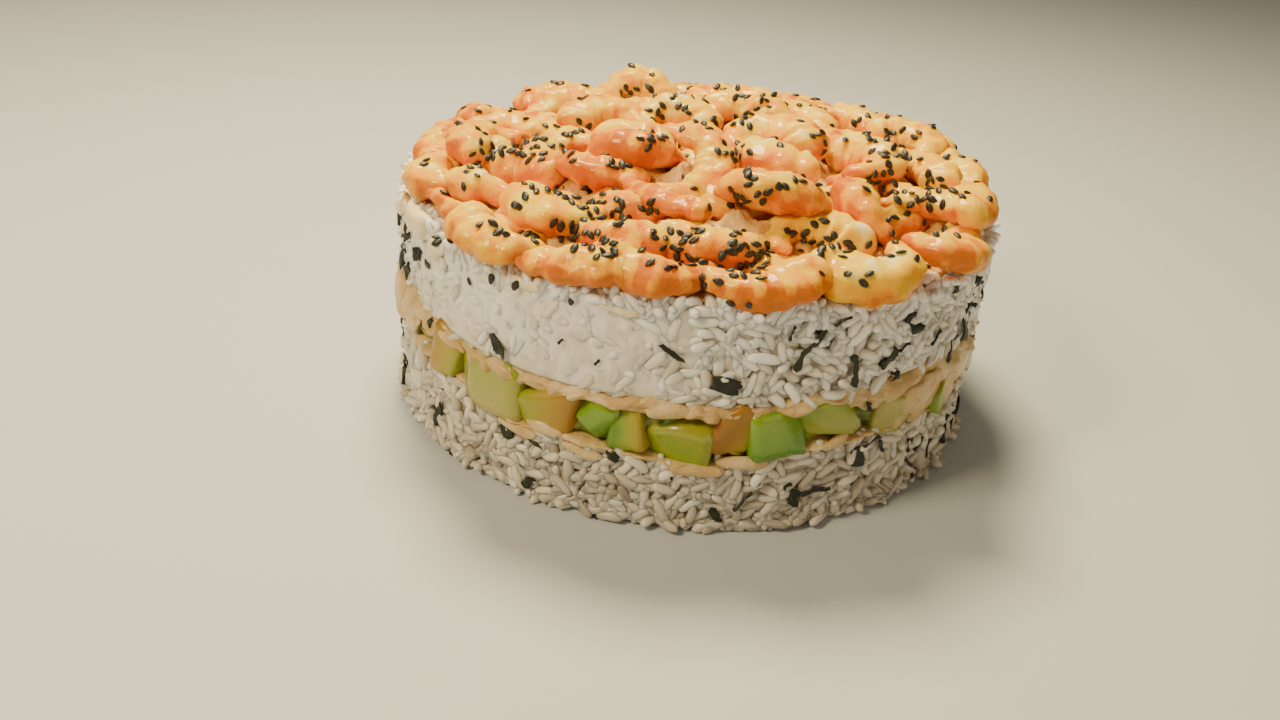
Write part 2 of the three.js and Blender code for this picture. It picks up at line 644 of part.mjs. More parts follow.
addPiece('rice_bottom', tidied(lowerRice()), RICE_LOOK);
addPiece('cream_lower', lowerCream(), TOP_CREAM_LOOK);
addPiece('avocado_cucumber', tidied(filling()), FILLING_LOOK);
addPiece('cream_middle', middleCream(), CREAM_LOOK);
addPiece('rice_top', tidied(upperRice()), RICE_LOOK);
addShrimps();

export default group;
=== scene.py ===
# The looks of a round layered sushi cake: rice, cream cheese, avocado and cucumber,
# with a heap of cooked shrimps and black sesame on top.
#
# Shapes are worked out in millimetres in the frame's own axes, -Y being the front, and
# turned into metres when a piece is made. Angles round the cake are in degrees from the
# front, growing towards +X.

import math

import bpy
import numpy as np
from mathutils import Matrix, Vector
from mathutils.bvhtree import BVHTree


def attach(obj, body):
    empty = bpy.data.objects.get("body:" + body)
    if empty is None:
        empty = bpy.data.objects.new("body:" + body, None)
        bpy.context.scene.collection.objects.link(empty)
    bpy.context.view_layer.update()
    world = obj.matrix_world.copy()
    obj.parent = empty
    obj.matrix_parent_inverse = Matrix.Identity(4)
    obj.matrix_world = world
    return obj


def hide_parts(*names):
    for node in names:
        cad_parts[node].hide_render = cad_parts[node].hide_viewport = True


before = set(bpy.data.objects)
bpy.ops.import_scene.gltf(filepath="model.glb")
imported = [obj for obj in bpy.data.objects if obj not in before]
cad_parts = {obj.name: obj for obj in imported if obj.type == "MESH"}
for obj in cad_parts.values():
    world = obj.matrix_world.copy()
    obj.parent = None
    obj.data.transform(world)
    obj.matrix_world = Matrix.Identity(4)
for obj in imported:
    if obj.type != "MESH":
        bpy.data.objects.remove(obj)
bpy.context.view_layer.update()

MM = 0.001
BODY = "root"

# ---- driving dimensions

CAKE_RADIUS = 90
GAP = 0.3

LOWER_CREAM = 2
RICE_TOP = 65.2
SHOULDER_WIDTH = 4
SHOULDER_DROP = 1.4
TOP_CREAM_RADIUS = 86
TOP_CREAM_HEIGHT = 67
TOP_CREAM_FLAT = 70
TOP_CREAM_CREST = 74.5
TOP_CREAM_RIM = 65.9

GRAIN_LENGTH = 7.8
GRAIN_WIDTH = 2.9
SEED_LENGTH = 3.1
SEED_WIDTH = 1.95
SEED_HEIGHT = 0.95

SHRIMP_LENGTH = 38
SHRIMP_FLATNESS = 0.78

# Where the layers meet: how high they reach at some angles round the rim.
LAYER_ANGLES = (-180, -120, -70, -50, -25, 5, 27, 47, 70, 120)
LOWER_RICE_HEIGHTS = (23, 24, 25, 26, 22, 19.5, 24, 25, 24, 23)
FILLING_HEIGHTS = (35, 35, 31, 34, 33.5, 34, 35, 31, 33, 36)
MIDDLE_CREAM_HEIGHTS = (39, 40, 42, 39, 38, 38.5, 40, 42, 39, 40)

# The chunks that show at the front: angle, width, tilt, kind, height above the middle of
# the layer, height, how green.
CHUNKS = [
    (-73, 17, 5, "avocado", 0, 15, 0.8),
    (-46, 12, 12, "avocado", 1, 16, 0.4),
    (-33, 19, -6, "cucumber", 0, 17, 0.25),
    (-21, 16, -18, "avocado", 0, 13, 0.3),
    (-13, 10, 10, "cucumber", 1, 12, 0.85),
    (-7, 10, -8, "avocado", 0, 12, 0.75),
    (2, 16, 4, "cucumber", -0.5, 14, 0.5),
    (10, 12, 32, "avocado", 3, 17, 0.05),
    (18, 16, -5, "cucumber", 0, 14, 0.85),
    (27, 15, -14, "cucumber", 1.5, 14, 0.4),
    (42, 14, 6, "cucumber", 1, 13, 0.1),
    (55, 14, -10, "avocado", 0, 13, 0.4),
]
# The chunks behind them: how many, from which angle on, and over how many degrees.
BACK_CHUNKS = 10
BACK_START = 70
BACK_STRETCH = 205
CRUMBS = 46

# The shrimps: x, y, the way the back faces, how much the back is lifted, the roll about
# the way it faces, size, girth, curl, the side it lies on, and how deep its orange is,
# from 0 to 1. Angles are in degrees, with 0 towards +X here. The laid ones lie on the
# cream, and the heaped ones on what is below them.
LAID_SHRIMPS = [
    (-48, -70, 236, -10, -4, 0.95, 0.95, 110, 1, 0.3),
    (-29, -81, 252, -8, 3, 0.95, 0.85, 60, -1, 0.6),
    (-9, -81, 266, -8, 0, 0.94, 0.95, 130, 1, 0.85),
    (18, -81, 281, -8, 4, 0.94, 0.98, 110, -1, 0.7),
    (44, -70, 298, -8, 0, 1.04, 1, 200, 1, 0.1),
    (66, -51, 322, -8, -5, 0.98, 1, 205, -1, 0.65),
    (72, -20, 350, 3, 0, 1.22, 0.9, 185, 1, 0.45),
    (77, 9, 8, 3, 6, 0.98, 1, 220, -1, 0.5),
    (71, 35, 28, 4, 0, 1, 1, 205, 1, 0.4),
    (55, 57, 46, 0, -6, 1, 1, 215, -1, 0.6),
    (31, 72, 67, 3, 0, 1.04, 1, 195, 1, 0.7),
    (2, 75, 90, -3, 5, 1.04, 1, 205, -1, 0.75),
    (-26, 66, 112, -10, -5, 1.02, 1, 205, 1, 0.4),
    (-52, 50, 137, -12, 0, 1, 1, 205, 1, 0.7),
    (-68, 26, 160, -8, 5, 0.92, 1, 200, -1, 0.85),
    (-75, -6, 184, -4, 0, 0.92, 1, 190, 1, 0.8),
    (-70, -33, 206, 0, 6, 1, 0.95, 190, 1, 0.25),
    (-55, -58, 236, 0, 0, 1.2, 0.6, 45, -1, 0.6),
    (-17, -66, 262, 2, 0, 0.95, 1, 180, -1, 0.75),
    (6, -66, 276, 2, 0, 0.95, 1, 170, 1, 0.5),
    (32, -60, 108, 0, 5, 1, 1, 205, 1, 0.15),
    (-14, -46, 255, 0, 5, 1, 1, 220, -1, 0.6),
    (11, -40, 280, 0, 0, 1, 1, 215, 1, 0.4),
    (55, -28, 330, 3, 0, 1, 1, 215, 1, 0.35),
    (-54, -16, 195, 0, 0, 1, 1, 220, -1, 0.35),
    (24, -16, 200, 3, 6, 1.08, 1, 220, -1, 0.35),
    (47, -5, 10, 0, -6, 1.08, 1, 220, -1, 0.5),
    (-18, -5, 205, 3, 5, 1.08, 1, 215, -1, 0.35),
    (7, 44, 75, 3, 0, 1.05, 1, 215, 1, 0.55),
    (49, 22, 35, 0, 0, 1, 1, 220, 1, 0.3),
    (30, 38, 50, 3, 0, 1.05, 1, 215, 1, 0.3),
]
HEAPED_SHRIMPS = [
    (-22, 44, 96, 44, 5, 0.95, 1, 235, 1, 0.2),
    (5, 63, 88, 0, 0, 0.92, 1, 200, -1, 0.9),
    (-43, 30, 112, 22, 0, 0.98, 1, 160, 1, 0.45),
    (33, 60, 60, 10, 8, 0.95, 1, 190, -1, 0.85),
    (49, 49, 45, 8, 0, 0.9, 1, 190, 1, 0.4),
    (65, 24, 35, 10, 8, 0.98, 1, 205, -1, 0.35),
    (-60, 2, 106, 4, -3, 1.12, 0.85, 70, 1, 0.8),
    (-56, -45, 238, 8, 6, 0.88, 1, 200, 1, 0.3),
    (-62, -18, 160, 6, -5, 0.88, 1, 200, -1, 0.6),
    (-36, -59, 245, 4, 5, 0.98, 1, 200, 1, 0.25),
    (-40, -22, 165, 8, -10, 0.95, 1, 200, -1, 0.55),
    (-27, -33, 250, 25, 0, 0.9, 1, 190, -1, 0.7),
    (-30, 10, 105, 8, 5, 1.03, 1, 205, -1, 0.6),
    (-9, 16, 100, 12, 0, 0.95, 1, 200, 1, 0.2),
    (12, 28, 85, 14, 0, 1.08, 1, 225, 1, 0.3),
    (21, 1, 95, 10, 0, 1.1, 1.03, 220, 1, 0.6),
    (-9, -53, 225, 10, 0, 0.98, 0.66, 60, -1, 0.95),
    (-17, -25, 250, 40, 5, 0.98, 1, 225, 1, 0.85),
    (0, -38, 15, 0, 32, 0.82, 1.12, 190, 1, 0.55),
    (19, -50, 262, 30, 0, 1, 1, 200, -1, 0.5),
    (46, -43, 200, 50, 0, 0.95, 1, 205, 1, 0.55),
    (64, -41, 60, 0, 0, 0.86, 0.85, 130, 1, 0.4),
    (64, -6, 60, 10, 5, 0.9, 1, 215, 1, 0.3),
]
# Shrimps in the gaps between those, half sunk in the top cream.
SUNKEN_SHRIMPS = [
    (-52, 19, 150, 0, 0, 1, 1, 200, 1, 0.5),
    (-20, 32, 95, 0, 0, 1.05, 1, 200, -1, 0.35),
    (-5, 4, 20, 0, 5, 1, 1, 210, 1, 0.6),
    (-3, -15, 250, 0, 0, 1.02, 1, 200, -1, 0.45),
    (-44, -4, 85, 0, 5, 0.95, 1, 190, 1, 0.3),
    (34, 16, 60, 0, 0, 1, 1, 200, -1, 0.7),
    (38, -23, 330, 0, 0, 1.05, 1, 190, 1, 0.4),
    (-12, 58, 110, 0, -5, 0.95, 1, 200, -1, 0.55),
    (-41, 47, 130, 0, 0, 1, 1, 190, 1, 0.25),
    (-40, -43, 225, 0, 0, 1, 1, 180, -1, 0.6),
    (28, -66, 285, 0, 0, 0.95, 1, 150, 1, 0.5),
    (25, -36, 290, 0, 0, 1, 1, 200, -1, 0.55),
    (20, 60, 80, 0, 0, 0.95, 1, 190, 1, 0.4),
    (55, 40, 40, 0, 0, 1, 1, 200, 1, 0.6),
]
SUNKEN_DEPTH = 3.5

# Black sesame that the photo shows, read off it in its own pixels: x, y, how many.
SEEDS_IN_VIEW = [
    (488, 154, 12), (525, 148, 14), (541, 142, 8), (578, 132, 8), (565, 152, 5), (594, 209, 20),
    (582, 234, 16), (606, 248, 8), (533, 238, 7), (500, 232, 4), (480, 225, 1), (443, 240, 6),
    (468, 176, 4), (521, 207, 3), (537, 193, 4), (553, 193, 3), (616, 164, 8), (618, 213, 5),
    (635, 217, 2), (651, 207, 4), (651, 138, 6), (661, 107, 10), (633, 91, 4), (647, 87, 3),
    (672, 238, 12), (684, 260, 8), (708, 283, 4), (745, 250, 14), (755, 262, 10), (739, 270, 6),
    (792, 230, 4), (818, 242, 8), (831, 250, 8), (810, 223, 5), (843, 252, 4), (745, 193, 10),
    (761, 195, 5), (792, 183, 6), (749, 172, 4), (731, 154, 6), (741, 150, 6), (745, 123, 6),
    (716, 121, 2), (741, 93, 3), (765, 103, 4), (716, 87, 3), (818, 136, 4), (827, 150, 3),
    (876, 138, 12), (900, 138, 8), (912, 160, 5), (859, 119, 4), (880, 174, 10), (896, 191, 8),
    (867, 183, 4), (929, 197, 14), (937, 181, 6), (953, 201, 3), (924, 223, 1), (945, 230, 1),
    (957, 236, 1), (896, 238, 3), (896, 254, 3), (896, 215, 5), (916, 260, 1), (847, 274, 1),
    (863, 283, 1), (869, 274, 1), (749, 305, 1), (731, 303, 1), (769, 250, 3), (871, 246, 3),
    (688, 234, 3), (700, 230, 2), (470, 281, 1), (492, 278, 1), (516, 285, 1), (572, 299, 1),
    (431, 265, 2), (822, 330, 1), (929, 295, 1), (978, 275, 1), (952, 397, 1), (436, 397, 1),
]
STRAY_SEEDS = 240
STRAY_SIDE_SEEDS = 26

# Seaweed that the photo shows, in its pixels: x, y, width and length in millimetres, and
# the lean of its long side to the right.
SEAWEED_IN_VIEW = [
    (724, 382, 7.5, 4.8, 8), (672, 352, 1.2, 8, -60), (807, 346, 2, 13, 35), (852, 367, 2.4, 9, 0),
    (882, 356, 3, 6, 60), (886, 371, 2.5, 3.5, -30), (909, 320, 4, 6, -30), (957, 324, 6, 8, 15),
    (942, 348, 3, 9, 5), (867, 405, 2, 2.5, 0), (839, 318, 0.7, 5, 70), (967, 330, 2, 3, 0),
    (947, 283, 3, 4, 0), (498, 350, 3, 7, -70), (408, 259, 5, 7, 0), (414, 271, 3, 5, 20),
    (433, 322, 1.5, 3, 0), (421, 252, 4, 4, 60), (443, 410, 2.4, 9, 10), (459, 452, 1.5, 3.5, 80),
    (483, 471, 1.5, 2.5, 0), (510, 430, 3, 5, -60), (533, 438, 0.9, 8, -65), (531, 477, 3, 3.5, 0),
    (618, 448, 3, 3, 0), (600, 511, 1, 2.5, 30), (714, 511, 2.2, 4.5, -20), (749, 477, 1.5, 5, -75),
    (741, 497, 0.9, 7, 45), (784, 481, 1.5, 2.5, 60), (794, 495, 3.5, 4.5, 30), (812, 487, 1.5, 9, 85),
    (855, 452, 5, 6, 0), (865, 438, 1, 6, 60), (878, 442, 1.2, 5, -20), (900, 458, 1, 7, -45),
    (908, 471, 2.5, 4, 20), (924, 446, 1.9, 9, -15), (914, 440, 1, 7, 75), (902, 442, 0.9, 4, 10),
    (672, 473, 0.7, 2, 0), (694, 463, 0.7, 2.5, 80), (597, 360, 0.8, 1.6, 30), (560, 340, 0.8, 1.5, 0),
    (930, 335, 1, 5, 50), (975, 290, 2, 4, 10), (965, 302, 1.2, 6, 30), (898, 345, 1, 4, 80),
    (830, 338, 0.8, 5, 40), (790, 330, 0.8, 4, 20),
]
# Seaweed on the sides that the photo doesn't show: angle, height, width, length, lean.
SEAWEED_BEHIND = [(110, 53, 4, 9, 25), (-140, 54, 5, 7, 30), (150, 10, 3, 9, 30)]
STRAY_SEAWEED = 110

# Where each part's random numbers start, so that every run makes the same cake.
RANDOM_START = {
    "shrimps": 99,
    "sunken shrimps": 199,
    "lower cream": 201,
    "middle cream": 221,
    "top cream": 241,
    "smears": 401,
    "lumps": 471,
    "lower rice": 31,
    "lower rice core": 301,
    "upper rice": 37,
    "upper rice core": 331,
    "chunks at the rim": 47,
    "chunks": 53,
    "filling middle": 261,
    "seaweed": 61,
    "sesame": 71,
}


# ---- helpers

def random_from(seed):
    """Repeatable random numbers from 0 to 1, one at a time."""
    state = seed

    def product(a, b):
        return (a * b) & 0xFFFFFFFF

    def draw():
        nonlocal state
        state = (state + 0x6D2B79F5) & 0xFFFFFFFF
        bits = product(state ^ (state >> 15), 1 | state)
        bits = ((bits + product(bits ^ (bits >> 7), 61 | bits)) & 0xFFFFFFFF) ^ bits
        return (bits ^ (bits >> 14)) / 4294967296

    return draw


def polar(angle, radius, z):
    """Points at an angle in degrees from the front."""
    turn = np.radians(angle)
    return np.stack(np.broadcast_arrays(radius * np.sin(turn), -radius * np.cos(turn), z), axis=-1)


def smooth_step(t):
    return t * t * (3 - 2 * t)


def ring_turns(count):
    """Even turns round a ring, in radians."""
    return np.arange(count) * 2 * math.pi / count


def ring_angles(count):
    """Even angles round the cake, in degrees."""
    return np.arange(count) * 360 / count


def height_round(heights, angle):
    """A smooth closed curve through the heights at the layers' angles."""
    positions = np.array([*LAYER_ANGLES, LAYER_ANGLES[0] + 360], float)
    heights = np.array([*heights, heights[0]], float)
    turned = positions[0] + np.mod(np.asarray(angle, float) - positions[0], 360)
    k = np.clip(np.searchsorted(positions, turned, side="right"), 1, len(positions) - 1)
    share = (turned - positions[k - 1]) / (positions[k] - positions[k - 1])
    return heights[k - 1] + (heights[k] - heights[k - 1]) * smooth_step(share)


def above(heights, gap=0):
    """The height, at any angle, of a gap above where a layer ends."""
    return lambda angle: height_round(heights, angle) + gap


def level(number):
    """The same number at every angle."""
    return lambda angle: number + 0 * angle


def lumps(points, size, seed, waves=9):
    """Smooth repeatable unevenness from about -1 to 1, with lumps of a size in millimetres."""
    rng = np.random.default_rng(seed)
    directions = rng.normal(size=(waves, 3))
    directions /= np.linalg.norm(directions, axis=1)[:, None]
    rates = 2 * math.pi / size * rng.uniform(0.6, 1.5, waves)
    phases = rng.uniform(0, 2 * math.pi, waves)
    total = np.zeros(points.shape[:-1])
    for direction, rate, phase in zip(directions, rates, phases):
        total += np.sin(points @ direction * rate + phase)
    return total / math.sqrt(waves) * 0.8


def many_lumps(points, seed, *kinds):
    """Lumps of several kinds on top of each other, each given as its size and its share."""
    return sum(share * lumps(points, size, seed + k) for k, (size, share) in enumerate(kinds))


def put_in_scene(name, data):
    """A new object that holds a mesh, a lamp or a camera."""
    item = bpy.data.objects.new(name, data)
    bpy.context.scene.collection.objects.link(item)
    return item


def tube_faces(rings, sides):
    """Quads of an open tube of rings, and its two round caps of triangles from two tips."""
    ring, side = np.meshgrid(np.arange(rings - 1), np.arange(sides), indexing="ij")
    here = ring * sides + side
    after = ring * sides + (side + 1) % sides
    quads = np.stack([here, after, after + sides, here + sides], -1)
    around = np.arange(sides)
    following = (around + 1) % sides
    start = np.full(sides, rings * sides)
    last = (rings - 1) * sides
    first_cap = np.stack([start, following, around], -1)
    last_cap = np.stack([start + 1, last + around, last + following], -1)
    return quads.reshape(-1, 4), np.concatenate([first_cap, last_cap])


def closed_tube(points, tips=None):
    """A closed skin over rings of points: its vertices, quads and triangles.

    Its two tips are the middles of the end rings, unless they are given.
    """
    rings, sides = points.shape[:2]
    if tips is None:
        tips = [points[0].mean(0), points[-1].mean(0)]
    return np.concatenate([points.reshape(-1, 3), tips]), *tube_faces(rings, sides)


def ball(rows, sides):
    """Rings of points on a ball of radius 1, from its top to its bottom."""
    tilt = np.linspace(0, math.pi, rows + 2)[1:-1, None]
    turn = ring_turns(sides)
    x, y, z = np.sin(tilt) * np.cos(turn), np.sin(tilt) * np.sin(turn), np.cos(tilt) * np.ones(sides)
    return np.stack([x, y, z], -1)


def add_piece(name, skin, material, attributes=None):
    """A mesh piece from a skin in millimetres, riding on the cake."""
    vertices, quads, triangles = skin
    mesh = bpy.data.meshes.new(name)
    corners = np.concatenate([quads.ravel(), triangles.ravel()]).astype(np.int32)
    sizes = np.concatenate([np.full(len(quads), 4), np.full(len(triangles), 3)]).astype(np.int32)
    starts = np.cumsum(sizes, dtype=np.int32) - sizes
    mesh.vertices.add(len(vertices))
    mesh.vertices.foreach_set("co", (np.asarray(vertices, np.float32) * MM).ravel())
    mesh.loops.add(len(corners))
    mesh.loops.foreach_set("vertex_index", corners)
    mesh.polygons.add(len(sizes))
    mesh.polygons.foreach_set("loop_start", starts)
    mesh.update(calc_edges=True)
    mesh.validate()
    mesh.polygons.foreach_set("use_smooth", np.full(len(sizes), True))
    for attribute, values in (attributes or {}).items():
        layer = mesh.attributes.new(attribute, "FLOAT", "POINT")
        layer.data.foreach_set("value", np.asarray(values, np.float32))
    mesh.materials.append(material)
    piece = put_in_scene(name, mesh)
    if signed_volume(mesh) < 0:
        mesh.flip_normals()
    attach(piece, BODY)
    return piece


def signed_volume(mesh):
    """Six times a closed mesh's volume, below 0 where its faces point inwards."""
    mesh.calc_loop_triangles()
    vertices = np.zeros(len(mesh.vertices) * 3)
    mesh.vertices.foreach_get("co", vertices)
    triangles = np.zeros(len(mesh.loop_triangles) * 3, np.int32)
    mesh.loop_triangles.foreach_get("vertices", triangles)
    corners = vertices.reshape(-1, 3)[triangles.reshape(-1, 3)]
    return float(np.einsum("ij,ij->i", corners[:, 0], np.cross(corners[:, 1], corners[:, 2])).sum())


def rotations(yaw, pitch, roll):
    """Matrices that turn about X by roll, then Y by pitch, then Z by yaw, all in radians."""
    cz, cy, cx = np.cos(yaw), np.cos(pitch), np.cos(roll)
    sz, sy, sx = np.sin(yaw), np.sin(pitch), np.sin(roll)
    rows = [
        [cz * cy, cz * sy * sx - sz * cx, cz * sy * cx + sz * sx],
        [sz * cy, sz * sy * sx + cz * cx, sz * sy * cx - cz * sx],
        [-sy, cy * sx, cy * cx],
    ]
    return np.moveaxis(np.array(rows), (0, 1), (-2, -1))


def facing(angle, lean):
    """A turn to face outwards at an angle round the cake, after a lean to one side, in degrees."""
    return rotations(math.radians(angle), 0, 0) @ rotations(0, math.radians(lean), 0)


def strewn_copies(shape, matrices, places):
    """Copies of a skin, each turned and scaled by a matrix and put in a place, and their faces."""
    vertices, quads, triangles = shape
    copies = np.einsum("nij,vj->nvi", matrices, vertices) + places[:, None, :]
    offsets = np.arange(len(places))[:, None, None] * len(vertices)
    all_quads = (quads[None] + offsets).reshape(-1, 4)
    all_triangles = (triangles[None] + offsets).reshape(-1, 3)
    return copies, all_quads, all_triangles


# ---- camera, light and floor

# The photo's view: where its camera stands, in metres, and how it is turned.
CAMERA_PLACE = Vector((0, -330.498, 177.16)) * MM
CAMERA_FORWARD = Vector((-0.03505589, 0.8835422, -0.46703776))
CAMERA_RIGHT = Vector((0.99451413, 0.07692605, 0.07088042))
CAMERA_UP = CAMERA_RIGHT.cross(CAMERA_FORWARD)
FOCAL_PIXELS = 1112.332
PHOTO_WIDTH = 1280
PHOTO_HEIGHT = 720
SENSOR_WIDTH = 36

# The lamps are yellow, as in the photo, and the floor is a little blue, to look grey in them.
LAMP_COLOR = (1, 0.82, 0.46)
FILL_COLOR = (1, 0.8, 0.46)
SKY_COLOR = (1, 0.87, 0.66)
SKY_STRENGTH = 0.15
FLOOR_COLOR = (0.52, 0.56, 0.62)
FLOOR_REACH = 3


def look_through(x, y):
    """The way from the camera through a pixel of the photo."""
    across = (x - PHOTO_WIDTH / 2) / FOCAL_PIXELS
    up = (PHOTO_HEIGHT / 2 - y) / FOCAL_PIXELS
    return (CAMERA_FORWARD + CAMERA_RIGHT * across + CAMERA_UP * up).normalized()


def make_camera():
    """The photo's own view of the cake."""
    camera = bpy.data.cameras.new("camera")
    camera.sensor_width = SENSOR_WIDTH
    camera.lens = FOCAL_PIXELS / PHOTO_WIDTH * SENSOR_WIDTH
    camera.clip_start = 0.01
    holder = put_in_scene("camera", camera)
    turned = Matrix((CAMERA_RIGHT, CAMERA_UP, -CAMERA_FORWARD)).transposed().to_4x4()
    turned.translation = CAMERA_PLACE
    holder.matrix_world = turned
    bpy.context.scene.camera = holder


def make_light(name, place, target, size, power, color):
    """A round soft lamp, in metres and watts."""
    light = bpy.data.lights.new(name, "AREA")
    light.shape = "DISK"
    light.size = size
    light.energy = power
    light.color = color
    holder = put_in_scene(name, light)
    holder.location = place
    holder.rotation_euler = (Vector(target) - Vector(place)).to_track_quat("-Z", "Y").to_euler()


def make_lights():
    make_light("overhead", (-0.12, 0.24, 0.7), (0, 0, 0.06), 0.26, 12.2, LAMP_COLOR)
    make_light("window", (-0.5, -0.42, 0.62), (0, 0, 0.05), 0.25, 6.4, LAMP_COLOR)
    make_light("fill", (0.6, -0.6, 0.3), (0, 0, 0.05), 0.6, 1.2, FILL_COLOR)
    world = bpy.data.worlds.new("studio")
    bpy.context.scene.world = world
    world.use_nodes = True
    sky = world.node_tree.nodes["Background"]
    sky.inputs["Color"].default_value = (*SKY_COLOR, 1)
    sky.inputs["Strength"].default_value = SKY_STRENGTH


def make_floor():
    corners = [(x * FLOOR_REACH, y * FLOOR_REACH, 0) for x, y in ((-1, -1), (1, -1), (1, 1), (-1, 1))]
    mesh = bpy.data.meshes.new("floor")
    mesh.from_pydata(corners, [], [(0, 1, 2, 3)])
    mesh.materials.append(plain_material("floor_paint", FLOOR_COLOR, 0.7))
    floor = put_in_scene("floor", mesh)


# ---- materials

def linear(hex_color):
    """A colour as written for a screen, as linear light."""
    parts = [int(hex_color[k : k + 2], 16) / 255 for k in (0, 2, 4)]
    return tuple(part / 12.92 if part < 0.04045 else ((part + 0.055) / 1.055) ** 2.4 for part in parts)


class Nodes:
    """Short calls that add nodes to one material and link them. Sizes are in millimetres."""

    def __init__(self, name):
        self.material = bpy.data.materials.new(name)
        self.material.use_nodes = True
        self.tree = self.material.node_tree
        self.shader = self.tree.nodes["Principled BSDF"]

    def link(self, source, target):
        if isinstance(source, (int, float)):
            target.default_value = source
        else:
            self.tree.links.new(source, target)

    def place(self):
        return self.tree.nodes.new("ShaderNodeTexCoord").outputs["Object"]

    def part_of(self, vector, axis):
        node = self.tree.nodes.new("ShaderNodeSeparateXYZ")
        self.link(vector, node.inputs["Vector"])
        return node.outputs[axis]

    def height(self):
        return self.part_of(self.place(), "Z")

    def facing_up(self):
        return self.part_of(self.tree.nodes.new("ShaderNodeNewGeometry").outputs["Normal"], "Z")

    def attribute(self, name):
        node = self.tree.nodes.new("ShaderNodeAttribute")
        node.attribute_name = name
        return node.outputs["Fac"]

    def noise(self, size_mm, detail=3, roughness=0.5):
        """Noise with lumps of about a size, from 0 to 1."""
        node = self.tree.nodes.new("ShaderNodeTexNoise")
        node.inputs["Scale"].default_value = 1 / (size_mm * MM)
        node.inputs["Detail"].default_value = detail
        node.inputs["Roughness"].default_value = roughness
        self.link(self.place(), node.inputs["Vector"])
        return node.outputs["Fac"]

    def swing(self, amount, size_mm, detail=3, roughness=0.5):
        """Noise to both sides of 0, by up to half an amount."""
        return self.times(self.math("SUBTRACT", self.noise(size_mm, detail, roughness), 0.5), amount)

    def math(self, operation, *values):
        node = self.tree.nodes.new("ShaderNodeMath")
        node.operation = operation
        for value, socket in zip(values, node.inputs):
            self.link(value, socket)
        return node.outputs["Value"]

    def add(self, *values):
        total = values[0]
        for value in values[1:]:
            total = self.math("ADD", total, value)
        return total

    def times(self, a, b):
        return self.math("MULTIPLY", a, b)

    def spread(self, value, low, high, to_low=0.0, to_high=1.0):
        """The value moved from one range to another, smoothly and within its ends."""
        node = self.tree.nodes.new("ShaderNodeMapRange")
        node.interpolation_type = "SMOOTHSTEP"
        self.link(value, node.inputs["Value"])
        ends = {"From Min": low, "From Max": high, "To Min": to_low, "To Max": to_high}
        for socket, number in ends.items():
            node.inputs[socket].default_value = number
        return node.outputs["Result"]

    def color(self, value, stops):
        """The surface's colour, from colours at places from 0 to 1."""
        node = self.tree.nodes.new("ShaderNodeValToRGB")
        elements = node.color_ramp.elements
        while len(elements) < len(stops):
            elements.new(0.5)
        for element, (position, color) in zip(elements, stops):
            element.position = position
            element.color = (*linear(color), 1)
        self.link(value, node.inputs["Fac"])
        self.link(node.outputs["Color"], self.shader.inputs["Base Color"])

    def roughness(self, size_mm, detail, low, high):
        """A surface with glossier and duller spots of a size."""
        value = self.spread(self.noise(size_mm, detail), 0.3, 0.7, low, high)
        self.link(value, self.shader.inputs["Roughness"])

    def bump(self, height, depth_mm, strength):
        node = self.tree.nodes.new("ShaderNodeBump")
        node.inputs["Distance"].default_value = depth_mm * MM
        node.inputs["Strength"].default_value = strength
        self.link(height, node.inputs["Height"])
        self.link(node.outputs["Normal"], self.shader.inputs["Normal"])

    def set(self, **numbers):
        """Numbers and colours that are the same all over, set on the shader itself."""
        for name, number in numbers.items():
            self.shader.inputs[name.replace("_", " ")].default_value = number

    def flesh(self, weight, radius_mm):
        """Light that goes in and comes out again, so far in millimetres for red, green and blue."""
        radius = tuple(part * MM for part in radius_mm)
        self.set(Subsurface_Weight=weight, Subsurface_Radius=radius, Subsurface_Scale=1.0)


def plain_material(name, color, roughness):
    nodes = Nodes(name)
    nodes.set(Base_Color=(*color, 1), Roughness=roughness)
    return nodes.material


def shrimp_material():
    """Translucent flesh with orange bands on the back, deeper towards the tail, wet all over, and with
    painted shade: deeper orange where it faces down.
    """
    nodes = Nodes("shrimp_flesh")
    along = nodes.attribute("along")
    back = nodes.attribute("back")
    depth = nodes.attribute("depth")
    wobble = nodes.swing(3.2, 5, 2)
    wave = nodes.math("COSINE", nodes.add(nodes.times(along, 2 * math.pi * SEGMENTS), wobble))
    band = nodes.spread(wave, -0.6, 0.3)
    on_back = nodes.spread(nodes.add(back, nodes.times(wobble, 0.2)), -0.7, 0.9)
    flank = nodes.spread(nodes.math("ABSOLUTE", back), 0.9, 0.2)
    pearl = nodes.times(nodes.spread(wave, 0.1, -0.9), flank)
    tail = nodes.spread(along, 0.7, 1.0)
    banding = nodes.spread(depth, 0.45, 0.85, 0.08, 0.4)
    # Painted shade: the orange is made deeper where the surface faces down, away from the light above.
    underside = nodes.spread(nodes.facing_up(), 0.8, -0.3)
    orange = nodes.add(
        nodes.times(nodes.times(band, on_back), banding),
        nodes.times(on_back, 0.1),
        nodes.times(pearl, -0.12),
        nodes.times(tail, 0.25),
        nodes.times(depth, 0.45),
        nodes.times(underside, 0.32),
        nodes.swing(1.9, 9, 3, 0.55),
        nodes.spread(along, 0.0, 0.25, -0.2, 0.0),
        0.27,
    )
    pale = [(0.0, "fbe9b4"), (0.2, "f8d650"), (0.38, "f8c600")]
    deep = [(0.56, "f8b600"), (0.78, "f49e00"), (1.0, "d87200")]
    nodes.color(orange, pale + deep)
    nodes.roughness(2.5, 3, 0.35, 0.6)
    nodes.bump(nodes.noise(1.5, 5, 0.7), 0.6, 0.7)
    nodes.set(Coat_Weight=0.3, Coat_Roughness=0.07, Specular_IOR_Level=0.15)
    nodes.flesh(0.55, (2.4, 2.0, 0.9))
    return nodes.material


